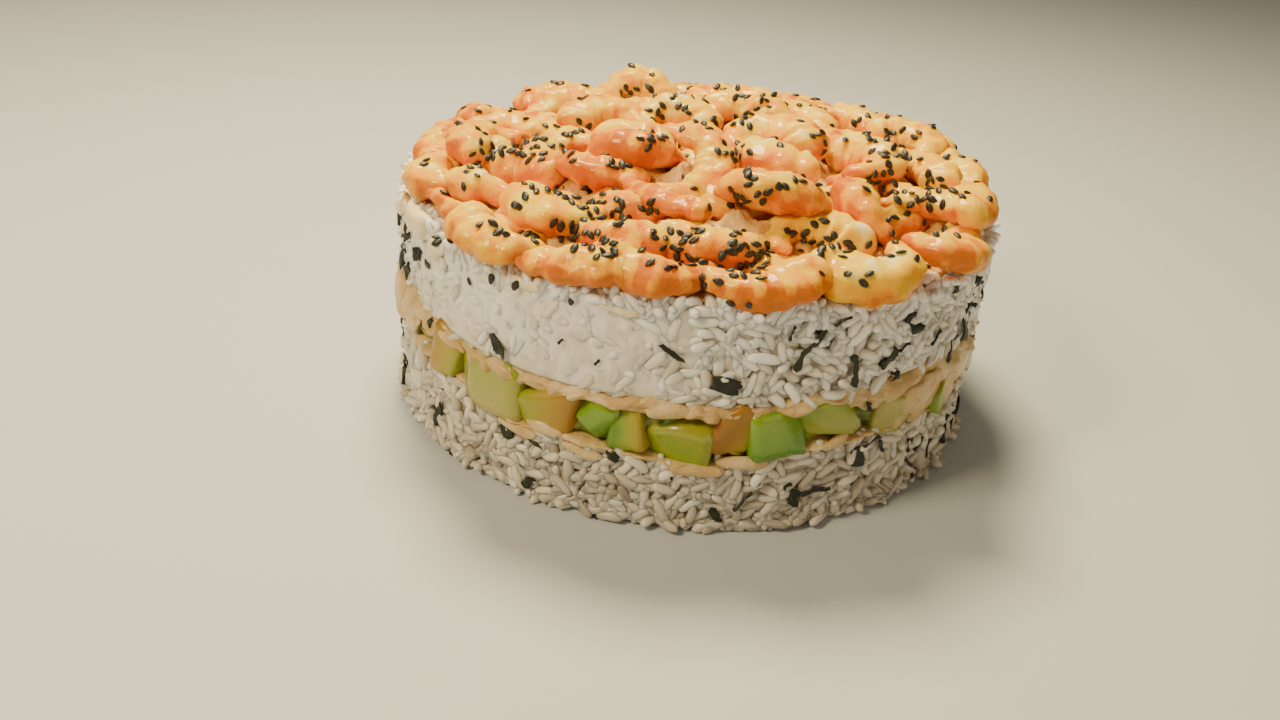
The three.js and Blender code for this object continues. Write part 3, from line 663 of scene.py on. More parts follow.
def rice_material():
    """Cooked grains, each its own tone, a little see-through, with painted light: lighter towards the
    top and darker towards the bottom.
    """
    nodes = Nodes("cooked_rice")
    # Painted light and shade: the rice is made darker towards the bottom and lighter towards the top.
    rise = nodes.spread(nodes.height(), 0.004, 0.066, -0.18, 0.14)
    # The shade attribute holds each grain's own tone, with painted light on the higher grains and
    # painted shade on the core between them.
    shade = nodes.add(nodes.attribute("shade"), nodes.swing(0.5, 9), rise)
    nodes.color(shade, [(0.0, "7e7068"), (0.3, "b4a89b"), (0.65, "dbd2c6"), (1.0, "fcf8f4")])
    nodes.roughness(3, 2, 0.28, 0.5)
    nodes.bump(nodes.noise(1.3, 3), 0.15, 0.6)
    nodes.set(Coat_Weight=0.3, Coat_Roughness=0.2)
    nodes.flesh(0.65, (2.4, 2.2, 1.9))
    return nodes.material


def cream_material(name, stops):
    """Soft smeared cream cheese."""
    nodes = Nodes(name)
    nodes.color(nodes.noise(11, 4, 0.55), stops)
    nodes.roughness(4, 2, 0.3, 0.55)
    nodes.bump(nodes.noise(1.8, 5, 0.7), 0.7, 0.9)
    nodes.set(Coat_Weight=0.25, Coat_Roughness=0.2)
    nodes.flesh(0.4, (2.2, 1.6, 0.9))
    return nodes.material


def avocado_material():
    """Buttery flesh from ochre yellow in the middle to green near the skin."""
    nodes = Nodes("avocado_flesh")
    tint = nodes.add(nodes.attribute("green"), nodes.swing(0.5, 8))
    stops = [(0.0, "9c6c10"), (0.3, "aa8c18"), (0.55, "9c961a"), (0.8, "7e961a"), (1.0, "5c8010")]
    nodes.color(tint, stops)
    nodes.roughness(3, 2, 0.3, 0.5)
    nodes.bump(nodes.noise(1.5, 3), 0.12, 0.6)
    nodes.set(Coat_Weight=0.25, Coat_Roughness=0.2)
    nodes.flesh(0.3, (1.8, 1.5, 0.5))
    return nodes.material


def cucumber_material():
    """Watery pale green, greener towards one side."""
    nodes = Nodes("cucumber_flesh")
    tint = nodes.add(nodes.attribute("green"), nodes.swing(0.5, 6))
    nodes.color(tint, [(0.0, "a69a44"), (0.35, "96982c"), (0.65, "7f9c1c"), (1.0, "5c8a0c")])
    nodes.roughness(3, 2, 0.15, 0.35)
    nodes.bump(nodes.noise(1.2, 3), 0.1, 0.5)
    nodes.set(Coat_Weight=0.4, Coat_Roughness=0.1)
    nodes.flesh(0.45, (2.2, 2.2, 0.8))
    return nodes.material


def speck_material(name, stops, size_mm, roughness, depth_mm):
    """Dark seeds and seaweed."""
    nodes = Nodes(name)
    nodes.color(nodes.noise(size_mm, 2), stops)
    nodes.bump(nodes.noise(size_mm / 3, 2), depth_mm, 0.8)
    nodes.set(Roughness=roughness, Specular_IOR_Level=0.5)
    return nodes.material


# ---- shrimps

BODY_DEPTH = [(0, 5.2), (0.1, 6.4), (0.25, 7), (0.5, 6.5), (0.75, 5.3), (0.92, 3.5), (1, 2.2)]
HEAD_ROUNDING = 0.1
TAIL_ROUNDING = 0.07
SEGMENTS = 6.5
SEGMENT_RELIEF = 0.05
CURL_STEPS = 400
# How much of the curl is even all along. The rest tightens towards the tail.
EVEN_CURL = 0.62
COARSE_STATIONS = 25
COARSE_SIDES = 20
FINE_STATIONS = 52
FINE_SIDES = 34
END_STATION = 0.04
BACK_RIDGES = 0.1
BELLY_FULLNESS = 0.06
TAIL_SLIMNESS = 0.16
BOW_HEIGHT = 1.1
LUMP_HEIGHT = 0.65
LUMP_KINDS = [(10, 1), (4.5, 0.5), (2.2, 0.2)]
# The lumps fade out this near to the middle of the body.
LUMP_FADE = 2.5


def half_depth(t, size):
    """Half the depth from back to belly along the body, from the head end to the tail."""
    head = np.sqrt(1 - np.maximum(0, (HEAD_ROUNDING - t) / HEAD_ROUNDING) ** 2)
    tail = np.sqrt(1 - np.maximum(0, (t - 1 + TAIL_ROUNDING) / TAIL_ROUNDING) ** 2)
    relief = 1 + SEGMENT_RELIEF * (np.sqrt(np.abs(np.sin(math.pi * SEGMENTS * t))) - 0.6)
    positions, depths = zip(*BODY_DEPTH)
    return np.interp(t, positions, depths) * size * head * tail * relief


def centre_line(t, size, curl):
    """Points and headings on the curled centre line, lying flat with the back towards +X."""
    def turned(s):
        return math.radians(curl) * (EVEN_CURL * s + (1 - EVEN_CURL) * s * s)

    def heading(s):
        return turned(s) - turned(0.5) + math.pi / 2

    step = SHRIMP_LENGTH * size / CURL_STEPS
    ways = heading((np.arange(CURL_STEPS) + 0.5) / CURL_STEPS)
    x = np.concatenate([[0], np.cumsum(np.cos(ways))]) * step
    y = np.concatenate([[0], np.cumsum(np.sin(ways))]) * step
    marks = np.linspace(0, 1, CURL_STEPS + 1)
    x -= (x.max() + x.min()) / 2
    y -= (y.max() + y.min()) / 2
    return np.interp(t, marks, x), np.interp(t, marks, y), heading(t)


def shrimp_points(shrimp, t, sides, detail=None):
    """Rings of points over a posed shrimp, lying at height 0.

    Detail, a seed, adds ridges and lumps.
    """
    x, y, back, rise, roll, size, girth, curl, side = shrimp[:9]
    line_x, line_y, way = (part[:, None] for part in centre_line(t, size, curl))
    around = ring_turns(sides)
    reach = half_depth(t, size * girth)[:, None] * np.ones(sides)
    if detail is not None:
        ridge = np.abs(np.sin(math.pi * SEGMENTS * t))[:, None] ** 0.4 - 0.75
        backness = (np.cos(around) + 1) / 2
        reach = reach * (1 + BACK_RIDGES * ridge * (0.35 + 0.65 * backness))
        reach = reach * (1 + BELLY_FULLNESS * (1 - backness) ** 2 * np.sin(math.pi * t)[:, None])
        reach = reach * (1 - TAIL_SLIMNESS * smooth_step(np.clip(2 * t - 0.9, 0, 1)))[:, None]
    across = reach * np.cos(around)
    up = reach * SHRIMP_FLATNESS * np.sin(around)
    flat = np.stack([line_x + across * np.sin(way), side * (line_y - across * np.cos(way)), up], -1)
    if detail is not None:
        bow = BOW_HEIGHT * np.sin(math.pi * t * 1.3 + detail)
        flat[..., 2] += (bow * smooth_step(np.clip(t / 0.2, 0, 1)))[:, None]
        centre = np.stack([line_x[:, 0], side * line_y[:, 0], flat[..., 2].mean(1)], -1)[:, None, :]
        outward = flat - centre
        length = np.maximum(np.linalg.norm(outward, axis=-1, keepdims=True), 0.5)
        bumps = many_lumps(flat, detail, *LUMP_KINDS)
        fade = np.clip(length[..., 0] / LUMP_FADE, 0, 1)
        flat = flat + outward / length * (bumps * fade * LUMP_HEIGHT)[..., None]
    turn = rotations(math.radians(back), 0, 0) @ rotations(0, 0, math.radians(roll))
    turn = turn @ rotations(0, math.radians(-rise), 0)
    return flat @ turn.T + np.array([x, y, 0.0])


SEAT = [
    (0, TOP_CREAM_CREST),
    (32, 74),
    (57, 68.5),
    (TOP_CREAM_FLAT, TOP_CREAM_HEIGHT),
    (TOP_CREAM_RADIUS, TOP_CREAM_RIM),
    (CAKE_RADIUS, RICE_TOP - SHOULDER_DROP),
]


def seat_height(x, y):
    """The cream and the rice's shoulder under the shrimps."""
    radius = np.hypot(x, y)
    return np.where(radius < CAKE_RADIUS, np.interp(radius, *zip(*SEAT)), -np.inf)


# The heap's height is kept in square cells, so wide and so many each way.
CELL = 1.5
CELLS = 140
# A heaped shrimp presses in this share of the cells under it, the highest ones, and then
# settles by this much more.
PRESSED_SHARE = 0.28
SETTLING = 1
# The cream wells up to this far below the heap's mean height.
CREAM_BELOW_HEAP = 4.5


def coarse_points(shrimp):
    """Points over a shrimp's plain form, enough to find what it lies on."""
    stations = np.linspace(0, 1, COARSE_STATIONS)
    return shrimp_points(shrimp, stations, COARSE_SIDES).reshape(-1, 3)


def lift_onto_cream(points):
    """How far points are lifted until they just clear the cream."""
    return (seat_height(points[:, 0], points[:, 1]) - points[:, 2]).max() + GAP


def settle():
    """Sets every shrimp down in turn. Gives each one's lift, and the heap's height in cells."""
    middles = (np.arange(CELLS) + 0.5 - CELLS / 2) * CELL
    grid_x, grid_y = np.meshgrid(middles, middles, indexing="ij")
    heap = np.maximum(0, seat_height(grid_x, grid_y)).ravel()
    lifts = []
    for index, shrimp in enumerate(LAID_SHRIMPS + HEAPED_SHRIMPS):
        points = coarse_points(shrimp)
        column = np.floor(points[:, 0] / CELL + CELLS / 2).astype(int)
        row = np.floor(points[:, 1] / CELL + CELLS / 2).astype(int)
        cell = column * CELLS + row
        low = np.full(CELLS * CELLS, np.inf)
        high = np.full(CELLS * CELLS, -np.inf)
        np.minimum.at(low, cell, points[:, 2])
        np.maximum.at(high, cell, points[:, 2])
        covered = np.isfinite(low)
        lift = lift_onto_cream(points)
        if index >= len(LAID_SHRIMPS):
            needs = np.sort(heap[covered] - low[covered])[::-1]
            lift = max(lift, needs[int(len(needs) * PRESSED_SHARE)] - SETTLING)
        heap[covered] = np.maximum(heap[covered], high[covered] + lift)
        lifts.append(lift)
    return lifts, heap.reshape(CELLS, CELLS)


def make_shrimp(name, shrimp, lift, seed, material, node):
    """One shrimp in full detail, with what its material needs to know of each point."""
    share = np.linspace(END_STATION, 1 - END_STATION, FINE_STATIONS)
    stations = 0.5 - 0.5 * np.cos(math.pi * share)
    around = np.cos(ring_turns(FINE_SIDES))
    points = shrimp_points(shrimp, stations, FINE_SIDES, seed)
    points[..., 2] += lift
    skin = closed_tube(points)
    attributes = {
        "along": np.concatenate([np.repeat(stations, FINE_SIDES), [0, 1]]),
        "back": np.concatenate([np.tile(around, FINE_STATIONS), [0, 0]]),
        "depth": np.full(len(skin[0]), shrimp[9]),
    }
    piece = add_piece(name, skin, material, attributes)
    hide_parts(node)
    return piece


def make_shrimps(lifts):
    material = shrimp_material()
    pieces = []
    start = RANDOM_START["shrimps"]
    for number, (shrimp, lift) in enumerate(zip(LAID_SHRIMPS + HEAPED_SHRIMPS, lifts), 1):
        name = f"cooked_shrimp_{number:02d}"
        node = f"shrimp_{number:02d}"
        pieces.append(make_shrimp(name, shrimp, lift, start + number, material, node))
    start = RANDOM_START["sunken shrimps"]
    for number, shrimp in enumerate(SUNKEN_SHRIMPS, 1):
        name = f"sunken_shrimp_{number:02d}"
        lift = lift_onto_cream(coarse_points(shrimp)) - SUNKEN_DEPTH
        pieces.append(make_shrimp(name, shrimp, lift, start + number, material, "cream_top"))
    return pieces


# ---- layers

LAYER_SIDES = 720
CREAM_ROWS = 16
TOP_CREAM_SIDES = 360
TOP_CREAM_RINGS = 76
CREAM_INNER_RADIUS = 74
CREAM_UNEVENNESS = 1.3
# How high the top cream may well up, and how wide its edge is, where it doesn't.
HIGHEST_SWELL = 7
FLAT_EDGE = 9
# The heap's mean height is taken over this many cells each way.
BLUR_CELLS = 5


def ringed_layer(name, rings, material, node, attributes=None):
    """A closed layer over rings of points from the middle of its underside to its top."""
    tips = [(0, 0, rings[k][:, 2].mean()) for k in (0, -1)]
    piece = add_piece(name, closed_tube(np.array(rings), tips), material, attributes)
    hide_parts(node)


def cream_layer(name, low, high, radius, unevenness, seed, material, slot, node):
    """A smeared layer between two heights, bulging and uneven at the rim."""
    angle = ring_angles(LAYER_SIDES)
    edge = polar(angle, radius, 0 * angle)
    thick = unevenness * np.clip((high(angle) - low(angle)) / 5, 0.3, 1)
    sag = np.clip(many_lumps(edge, seed + 5, (15, 1), (6, 0.8)), -0.4, 2.2)
    swell = np.clip(many_lumps(edge, seed + 7, (15, 1), (6, 0.8)), -0.8, 1.2)
    bottom = low(angle) - thick * sag
    top = high(angle) + thick * swell
    rings = [polar(angle, CREAM_INNER_RADIUS, low(angle))]
    for share in np.linspace(0, 1, CREAM_ROWS):
        bulge = math.sin(math.pi * share) ** 0.6
        ring = polar(angle, radius - 2 + 2 * bulge, bottom + (top - bottom) * share)
        push = many_lumps(ring, seed, (14, 1), (6, 0.8), (2.6, 0.5)) * unevenness * 0.7
        ring[:, :2] *= 1 + (push * (0.3 + 0.7 * bulge) / radius)[:, None]
        rings.append(ring)
    rings.append(polar(angle, CREAM_INNER_RADIUS, high(angle)))
    ringed_layer(name, rings, material, node)


def smear_shape(angle, z, width, height, thickness, lean, seed):
    """A smear of cream on the side: a flat lump, uneven all over."""
    rings = ball(22, 44) * (width / 2, -thickness, height / 2)
    rings *= 1 + many_lumps(rings, seed, (16, 0.3), (6, 0.16))[..., None]
    rings = rings @ rotations(0, math.radians(lean), 0).T
    around = angle + np.degrees(rings[..., 0] / CAKE_RADIUS)
    return closed_tube(polar(around, CAKE_RADIUS - 0.3 - rings[..., 1], z + rings[..., 2]))


def joined(skins):
    """Several closed skins as one."""
    vertices, quads, triangles = zip(*skins)
    offsets = np.cumsum([0] + [len(each) for each in vertices])
    quads = [each + offset for each, offset in zip(quads, offsets)]
    triangles = [each + offset for each, offset in zip(triangles, offsets)]
    return np.concatenate(vertices), np.concatenate(quads), np.concatenate(triangles)


# Smears of the middle cream over the filling, and lumps of the pale cream at the top edge:
# angle, height, width, height, thickness, lean.
PEACH_SMEARS = [
    (38, 37, 15, 6, 1.6, -20), (48, 33, 17, 13, 2.0, -15), (57, 32, 15, 15, 2.0, 10),
    (43, 28, 12, 6, 1.4, -35), (65, 33, 12, 12, 1.8, 0), (-60, 36, 15, 12, 2.0, 10),
    (-70, 35, 14, 14, 2.0, 0), (-44, 37, 14, 4, 1.5, 12), (-30, 36, 12, 3.6, 1.6, 12),
    (29, 26, 10, 4, 1.3, -30), (-22, 24, 13, 4, 1.4, 10), (13, 22, 12, 3.5, 1.3, 0),
    (-28, 21.5, 15, 3.6, 1.4, 10), (-15, 20, 12, 3.4, 1.3, 8), (4, 19.5, 18, 3.4, 1.5, 0),
    (-2, 36, 14, 3.4, 1.4, -5), (8, 36.5, 9, 3, 1.3, 12), (95, 33, 16, 10, 1.8, 0),
    (-110, 34, 16, 9, 1.8, 0), (140, 32, 14, 9, 1.6, 15), (-155, 32, 14, 10, 1.6, -15),
]
PALE_LUMPS = [
    (-57, 65.5, 14, 8, 3.0, 12), (-49, 62, 9, 6, 1.8, -20), (-66, 64.5, 10, 6, 2.2, 0),
    (-27, 63, 12, 3, 1.0, 0), (-10, 62, 10, 2.6, 0.9, 5), (95, 64, 10, 4, 1.6, 0),
    (170, 63, 12, 5, 1.6, 0), (-130, 63.5, 12, 5, 1.8, 0),
]


def add_smears(name, smears, seed, material, slot, node):
    skins = [smear_shape(*smear, seed + 3 * k) for k, smear in enumerate(smears)]
    piece = add_piece(name, joined(skins), material)
    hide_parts(node)


def make_creams(heap):
    peach_stops = [(0.25, "b8904e"), (0.45, "ceac74"), (0.6, "dfc496"), (0.8, "eedcb8")]
    pale_stops = [(0.25, "e6c594"), (0.45, "f0dab2"), (0.62, "f7e9cc"), (0.8, "fcf4e2")]
    # The top cream's orange stains are darkened to brown as painted shade for the gaps between the
    # shrimps, where it shows.
    stain_and_gap_shade_stops = [(0.2, "b8741e"), (0.42, "d69c48"), (0.6, "ecc684"), (0.8, "f8e6c0")]
    peach = cream_material("peach_cream", peach_stops)
    pale = cream_material("pale_cream", pale_stops)
    low, high = above(LOWER_RICE_HEIGHTS, GAP), above(LOWER_RICE_HEIGHTS, LOWER_CREAM)
    rim = (CAKE_RADIUS + 0.3, CREAM_UNEVENNESS, RANDOM_START["lower cream"])
    cream_layer("lower_cream", low, high, *rim, peach, "cream", "cream_lower")
    low, high = above(FILLING_HEIGHTS, GAP), above(MIDDLE_CREAM_HEIGHTS)
    rim = (CAKE_RADIUS + 0.5, CREAM_UNEVENNESS, RANDOM_START["middle cream"])
    over_filling = (peach, "sauce_cream", "cream_middle")
    cream_layer("middle_cream", low, high, *rim, *over_filling)
    add_smears("cream_smears", PEACH_SMEARS, RANDOM_START["smears"], *over_filling)
    add_smears("cream_lumps", PALE_LUMPS, RANDOM_START["lumps"], pale, "cream", "cream_top")
    make_top_cream(heap, cream_material("cream_stains_and_painted_gap_shade", stain_and_gap_shade_stops))


def blurred(heights, cells):
    """Heights averaged over a square of cells each way."""
    width = 2 * cells + 1
    for axis in (0, 1):
        margins = [(cells + 1, cells) if axis == k else (0, 0) for k in (0, 1)]
        total = np.cumsum(np.pad(heights, margins, mode="edge"), axis)
        ends = np.arange(width, total.shape[axis])
        heights = (np.take(total, ends, axis) - np.take(total, ends - width, axis)) / width
    return heights


def make_top_cream(heap, material):
    """The cream under the shrimps, which wells up between them."""
    radii = np.linspace(TOP_CREAM_RADIUS - 1, 2, TOP_CREAM_RINGS)
    angle = ring_angles(TOP_CREAM_SIDES)
    around = blurred(np.maximum(heap, TOP_CREAM_RIM), BLUR_CELLS)
    seed = RANDOM_START["top cream"]
    rings = [
        polar(angle, radii[0], RICE_TOP + GAP),
        polar(angle, TOP_CREAM_RADIUS + 0.5, TOP_CREAM_RIM - 0.4),
    ]
    for radius in radii:
        ring = polar(angle, radius, np.interp(radius, *zip(*SEAT)))
        cell = np.clip(np.round(ring[:, :2] / CELL + CELLS / 2 - 0.5).astype(int), 0, CELLS - 1)
        mean = around[cell[:, 0], cell[:, 1]]
        swell = np.clip(mean - CREAM_BELOW_HEAP - ring[:, 2], 0, HIGHEST_SWELL)
        swell *= 1 + 0.35 * lumps(ring, 12, seed)
        swell += many_lumps(ring, seed + 1, (5, 0.8), (2.4, 0.35))
        inwards = smooth_step(np.clip((TOP_CREAM_RADIUS - radius) / FLAT_EDGE, 0, 1))
        ring[:, 2] += np.maximum(swell, 0) * inwards
        rings.append(ring)
    ringed_layer("top_cream", rings, material, "cream_top")


# ---- rice

# Where grains stand up at the top edge, in degrees round the cake.
TUFTS = [-50, -44, -41, -38, -20, -9, -5, -2, 9, 17, 21, 34, 60, 100, 140, 200, 250]
TUFT_GRAINS = 4
LOWER_SIDE_GRAINS = 1500
UPPER_SIDE_GRAINS = 1650
FOOT_GRAINS = 330
RIM_GRAINS = 420
# About how high the side of a rice layer is, to space its grains evenly.
SIDE_HEIGHT = 22
GRAIN_CLEARANCE = 0.05
CORE_ROWS = 34


def spindle(stations, girths, tips, length, width, height, sides, bow=0):
    """A closed spindle along X, from rings and tips at shares of its length.

    Its middle is bowed to one side.
    """
    turn = ring_turns(sides)
    rings = []
    for station, girth in zip(stations, girths):
        x = np.full(sides, station * length)
        y = width / 2 * girth * np.cos(turn) + bow * (1 - (2 * station) ** 2)
        rings.append(np.stack([x, y, height / 2 * girth * np.sin(turn)], -1))
    return closed_tube(np.array(rings), [(tip * length, 0, 0) for tip in tips])


def grain_shape():
    """One cooked grain along X, a little bent, with blunt ends."""
    stations = (-0.47, -0.3, 0.0, 0.3, 0.47)
    girths = (0.55, 0.93, 1.0, 0.9, 0.5)
    return spindle(stations, girths, (-0.52, 0.52), GRAIN_LENGTH, GRAIN_WIDTH, GRAIN_WIDTH, 7, 0.5)


def side_grains(rng, count, low, high, radius):
    """A group of turned grains, spread evenly over the side between two heights."""
    rows = round(math.sqrt(count * SIDE_HEIGHT / (2 * math.pi * CAKE_RADIUS)))
    per_row = count // rows
    row, place = np.divmod(np.arange(rows * per_row), per_row)
    angle = (place + rng.uniform(0, 1, len(place)) + 0.5 * (row % 2)) * 360 / per_row
    share = (row + rng.uniform(0.05, 0.95, len(row))) / rows
    z = low(angle) + (high(angle) - low(angle)) * share
    lean = rng.normal(0, 1, len(angle))
    slope = rng.normal(0, 0.9, len(angle))
    tip_out = rng.normal(0, 0.28, len(angle))
    none = 0 * angle
    turn = rotations(np.radians(angle) + tip_out, none, none) @ rotations(none, slope, lean)
    return angle, radius + rng.normal(0, 0.45, len(angle)), z, turn


def ring_of_grains(rng, count, yaw_spread, pitch, pitch_spread):
    """Angles spread round the cake, and the turns of grains that lie there."""
    angle = (np.arange(count) + rng.uniform(0, 1, count)) * 360 / count
    yaw = np.radians(angle + rng.normal(0, yaw_spread, count))
    return angle, rotations(yaw, rng.normal(pitch, pitch_spread, count), rng.normal(0, 1, count))


def scaled(rng, turn):
    """The same turns with grains of uneven length and girth."""
    count = len(turn)
    scale = np.zeros((count, 3, 3))
    scale[:, 0, 0] = rng.uniform(0.78, 1.12, count)
    scale[:, 1, 1] = rng.uniform(0.85, 1.12, count)
    scale[:, 2, 2] = rng.uniform(0.8, 1.08, count)
    return turn @ scale


def add_grains(name, rng, groups, material, node):
    """Joined grains, each lifted onto the floor if need be, and each with its own tone and with painted
    light that makes the higher grains lighter.

    A group has the grains' angles, radii, heights and turns.
    """
    angle, radius, z, turn = (np.concatenate(parts) for parts in zip(*groups))
    places = polar(angle, radius, z)
    copies, quads, triangles = strewn_copies(grain_shape(), scaled(rng, turn), places)
    sunk = np.minimum(0, copies[..., 2].min(1) - GRAIN_CLEARANCE)
    copies[..., 2] -= sunk[:, None]
    # Painted light: grains above about 36 mm are made up to 0.2 lighter towards the top edge, on top of
    # each grain's own random tone.
    shade = rng.normal(0.68, 0.13, len(places)) + 0.2 * np.clip(places[:, 2] / 30 - 1.2, 0, 1)
    shade = np.repeat(np.clip(shade, 0, 1), copies.shape[1])
    skin = (copies.reshape(-1, 3), quads, triangles)
    piece = add_piece(name, skin, material, {"shade": shade})
    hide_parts(node)


def stickiness(angle):
    """1 where the upper rice is pressed smooth, at the front left, and 0 where grains stand out."""
    turned = np.mod(angle + 180, 360) - 180
    from_left = smooth_step(np.clip((turned + 75) / 25, 0, 1))
    return from_left * smooth_step(np.clip((14 - turned) / 22, 0, 1))


def rice_core(name, low, high, sticky, top_rings, seed, material, node):
    """The sticky mass behind the grains, with further rings on its top, painted darker as shade where
    grains stand out in front of it.
    """
    angle = ring_angles(LAYER_SIDES)
    rings = []
    for share in np.linspace(0, 1, CORE_ROWS):
        z = low(angle) + (high(angle) - low(angle)) * share
        radius = CAKE_RADIUS - 2.1 + 1.3 * sticky(angle)
        ring = polar(angle, radius, z)
        grainy = np.abs(lumps(ring, 7, seed + 1)) + 0.6 * np.abs(lumps(ring, 4.5, seed + 2))
        push = 0.45 * lumps(ring, 13, seed) + 0.7 * grainy - 0.5
        edge = min(1, 6 * min(share, 1 - share))
        ring[:, :2] *= 1 + (push * edge / radius)[:, None]
        rings.append(ring)
    rings += [polar(angle, radius, z) for radius, z in top_rings]
    # Painted shade: the core is darker where grains stand out in front of it, and lighter where it is
    # pressed smooth.
    shade = np.concatenate([np.tile(0.42 + 0.25 * sticky(angle), len(rings)), [0.4, 0.4]])
    ringed_layer(name, rings, material, node, {"shade": shade})


def make_lower_rice(material):
    rng = np.random.default_rng(RANDOM_START["lower rice"])
    core = (level(0), above(LOWER_RICE_HEIGHTS), level(0.2), [], RANDOM_START["lower rice core"])
    rice_core("lower_rice_core", *core, material, "rice_bottom")
    low, high = level(1.2), above(LOWER_RICE_HEIGHTS, 0.6)
    side = side_grains(rng, LOWER_SIDE_GRAINS, low, high, CAKE_RADIUS - 1.3)
    foot_angle, foot_turn = ring_of_grains(rng, FOOT_GRAINS, 38, 0, 0.16)
    foot_z = rng.uniform(1.3, 2.6, FOOT_GRAINS)
    foot_radius = CAKE_RADIUS - 1.4 + rng.normal(0, 0.9, FOOT_GRAINS)
    foot = (foot_angle, foot_radius, foot_z, foot_turn)
    add_grains("lower_rice_grains", rng, [side, foot], material, "rice_bottom")


def make_upper_rice(material):
    rng = np.random.default_rng(RANDOM_START["upper rice"])
    edge = RICE_TOP - SHOULDER_DROP
    shoulder = [(CAKE_RADIUS - SHOULDER_WIDTH - 1, RICE_TOP)]
    heights = (above(MIDDLE_CREAM_HEIGHTS, GAP), level(edge))
    core = (*heights, stickiness, shoulder, RANDOM_START["upper rice core"])
    rice_core("upper_rice_core", *core, material, "rice_top")
    low, high = above(MIDDLE_CREAM_HEIGHTS, GAP - 0.6), level(edge - 0.2)
    angle, radius, z, turn = side_grains(rng, UPPER_SIDE_GRAINS, low, high, CAKE_RADIUS - 1.35)
    side = (angle, radius - 0.75 * stickiness(angle), z, turn)
    rim_angle, rim_turn = ring_of_grains(rng, RIM_GRAINS, 55, 0.1, 0.35)
    rim_radius = CAKE_RADIUS - 0.9 - SHOULDER_WIDTH * rng.uniform(0, 1, RIM_GRAINS)
    rim_z = np.interp(rim_radius, *zip(*SEAT)) - 0.5 + rng.normal(0, 0.3, RIM_GRAINS)
    count = TUFT_GRAINS * len(TUFTS)
    tuft_angle = np.repeat(TUFTS, TUFT_GRAINS) + rng.normal(0, 1.6, count)
    steep = rng.choice([-1, 1], count) * rng.uniform(0.6, 1.3, count)
    tuft_turn = rotations(np.radians(tuft_angle), steep, rng.normal(0, 1, count))
    tuft_z = rng.uniform(62.5, 65.5, count)
    tuft_radius = rng.uniform(88.2, 89.6, count)
    rim = (rim_angle, rim_radius, rim_z, rim_turn)
    tufts = (tuft_angle, tuft_radius, tuft_z, tuft_turn)
    add_grains("upper_rice_grains", rng, [side, rim, tufts], material, "rice_top")


# ---- filling

# How many knife cuts take the corners off a chunk, and how far from its middle they start.
FEW_CUTS = (5, 0.86)
MANY_CUTS = (7, 0.68)
# How square a chunk is, 2 being round.
BOXINESS = 14
# A chunk is as deep as this share of its width, up to a limit. It is made wider than it
# shows, because the cuts take its corners off.
CHUNK_DEPTH = 1.4
DEEPEST_CHUNK = 16
CHUNK_FULLNESS = 1.12
CHUNK_STANDS_OUT = 1.2
CHUNK_TURN = 15
CHUNK_TIP = 0.25


def chunk_shape(rng, width, depth, height, knife_cuts):
    """A block cut by a few knife strokes, with rounded edges. Faces outwards along -Y."""
    direction = ball(17, 32)
    reach = (np.abs(direction) ** BOXINESS).sum(-1) ** (-1 / BOXINESS)
    points = direction * reach[..., None]
    tips = np.array([(0, 0, 1), (0, 0, -1)])
    half = np.array([width, depth, height]) / 2
    number, nearest = knife_cuts
    cuts = []
    for _ in range(number):
        normal = rng.normal(size=3) * np.array([1, 0.6, 1])
        normal /= np.linalg.norm(normal)
        cuts.append((normal, rng.uniform(nearest, 1.08)))

    def knife(place):
        for normal, reach_of_cut in cuts:
            beyond = np.maximum(0, place @ normal - reach_of_cut)
            place = place - beyond[..., None] * normal
        return place * half

    return closed_tube(knife(points), knife(tips))


def chosen_chunks(rng, draw):
    """The chunks at the front, those behind, and crumbs between them.

    Each has its angle, width, tilt, kind, height above the middle of the layer, height, how
    green it is, how far out it reaches and how it is cut.
    """
    chunks = []
    for chunk in CHUNKS:
        chunks.append((*chunk, CAKE_RADIUS - 1.5 * draw(), FEW_CUTS))
    for k in range(BACK_CHUNKS):
        angle = BACK_START + (k + 0.4 * draw()) * BACK_STRETCH / BACK_CHUNKS
        width = 9 + 10 * draw()
        tilt = 40 * (draw() - 0.5)
        reach = CAKE_RADIUS - 1.5 * draw()
        kind = "avocado" if k % 3 == 1 else "cucumber"
        chunks.append((angle, width, tilt, kind, 0, 14, rng.uniform(0.1, 0.9), reach, FEW_CUTS))
    for _ in range(CRUMBS):
        angle = rng.choice([rng.uniform(-80, 62), rng.uniform(62, 280)])
        size = rng.uniform(4, 9)
        kind = rng.choice(["avocado", "cucumber"])
        above_middle = rng.uniform(-4.5, 4.5)
        tilt = rng.uniform(-90, 90)
        green = rng.uniform(0, 1)
        reach = CAKE_RADIUS - 2.6
        chunks.append((angle, size, tilt, kind, above_middle, size, green, reach, MANY_CUTS))
    return chunks


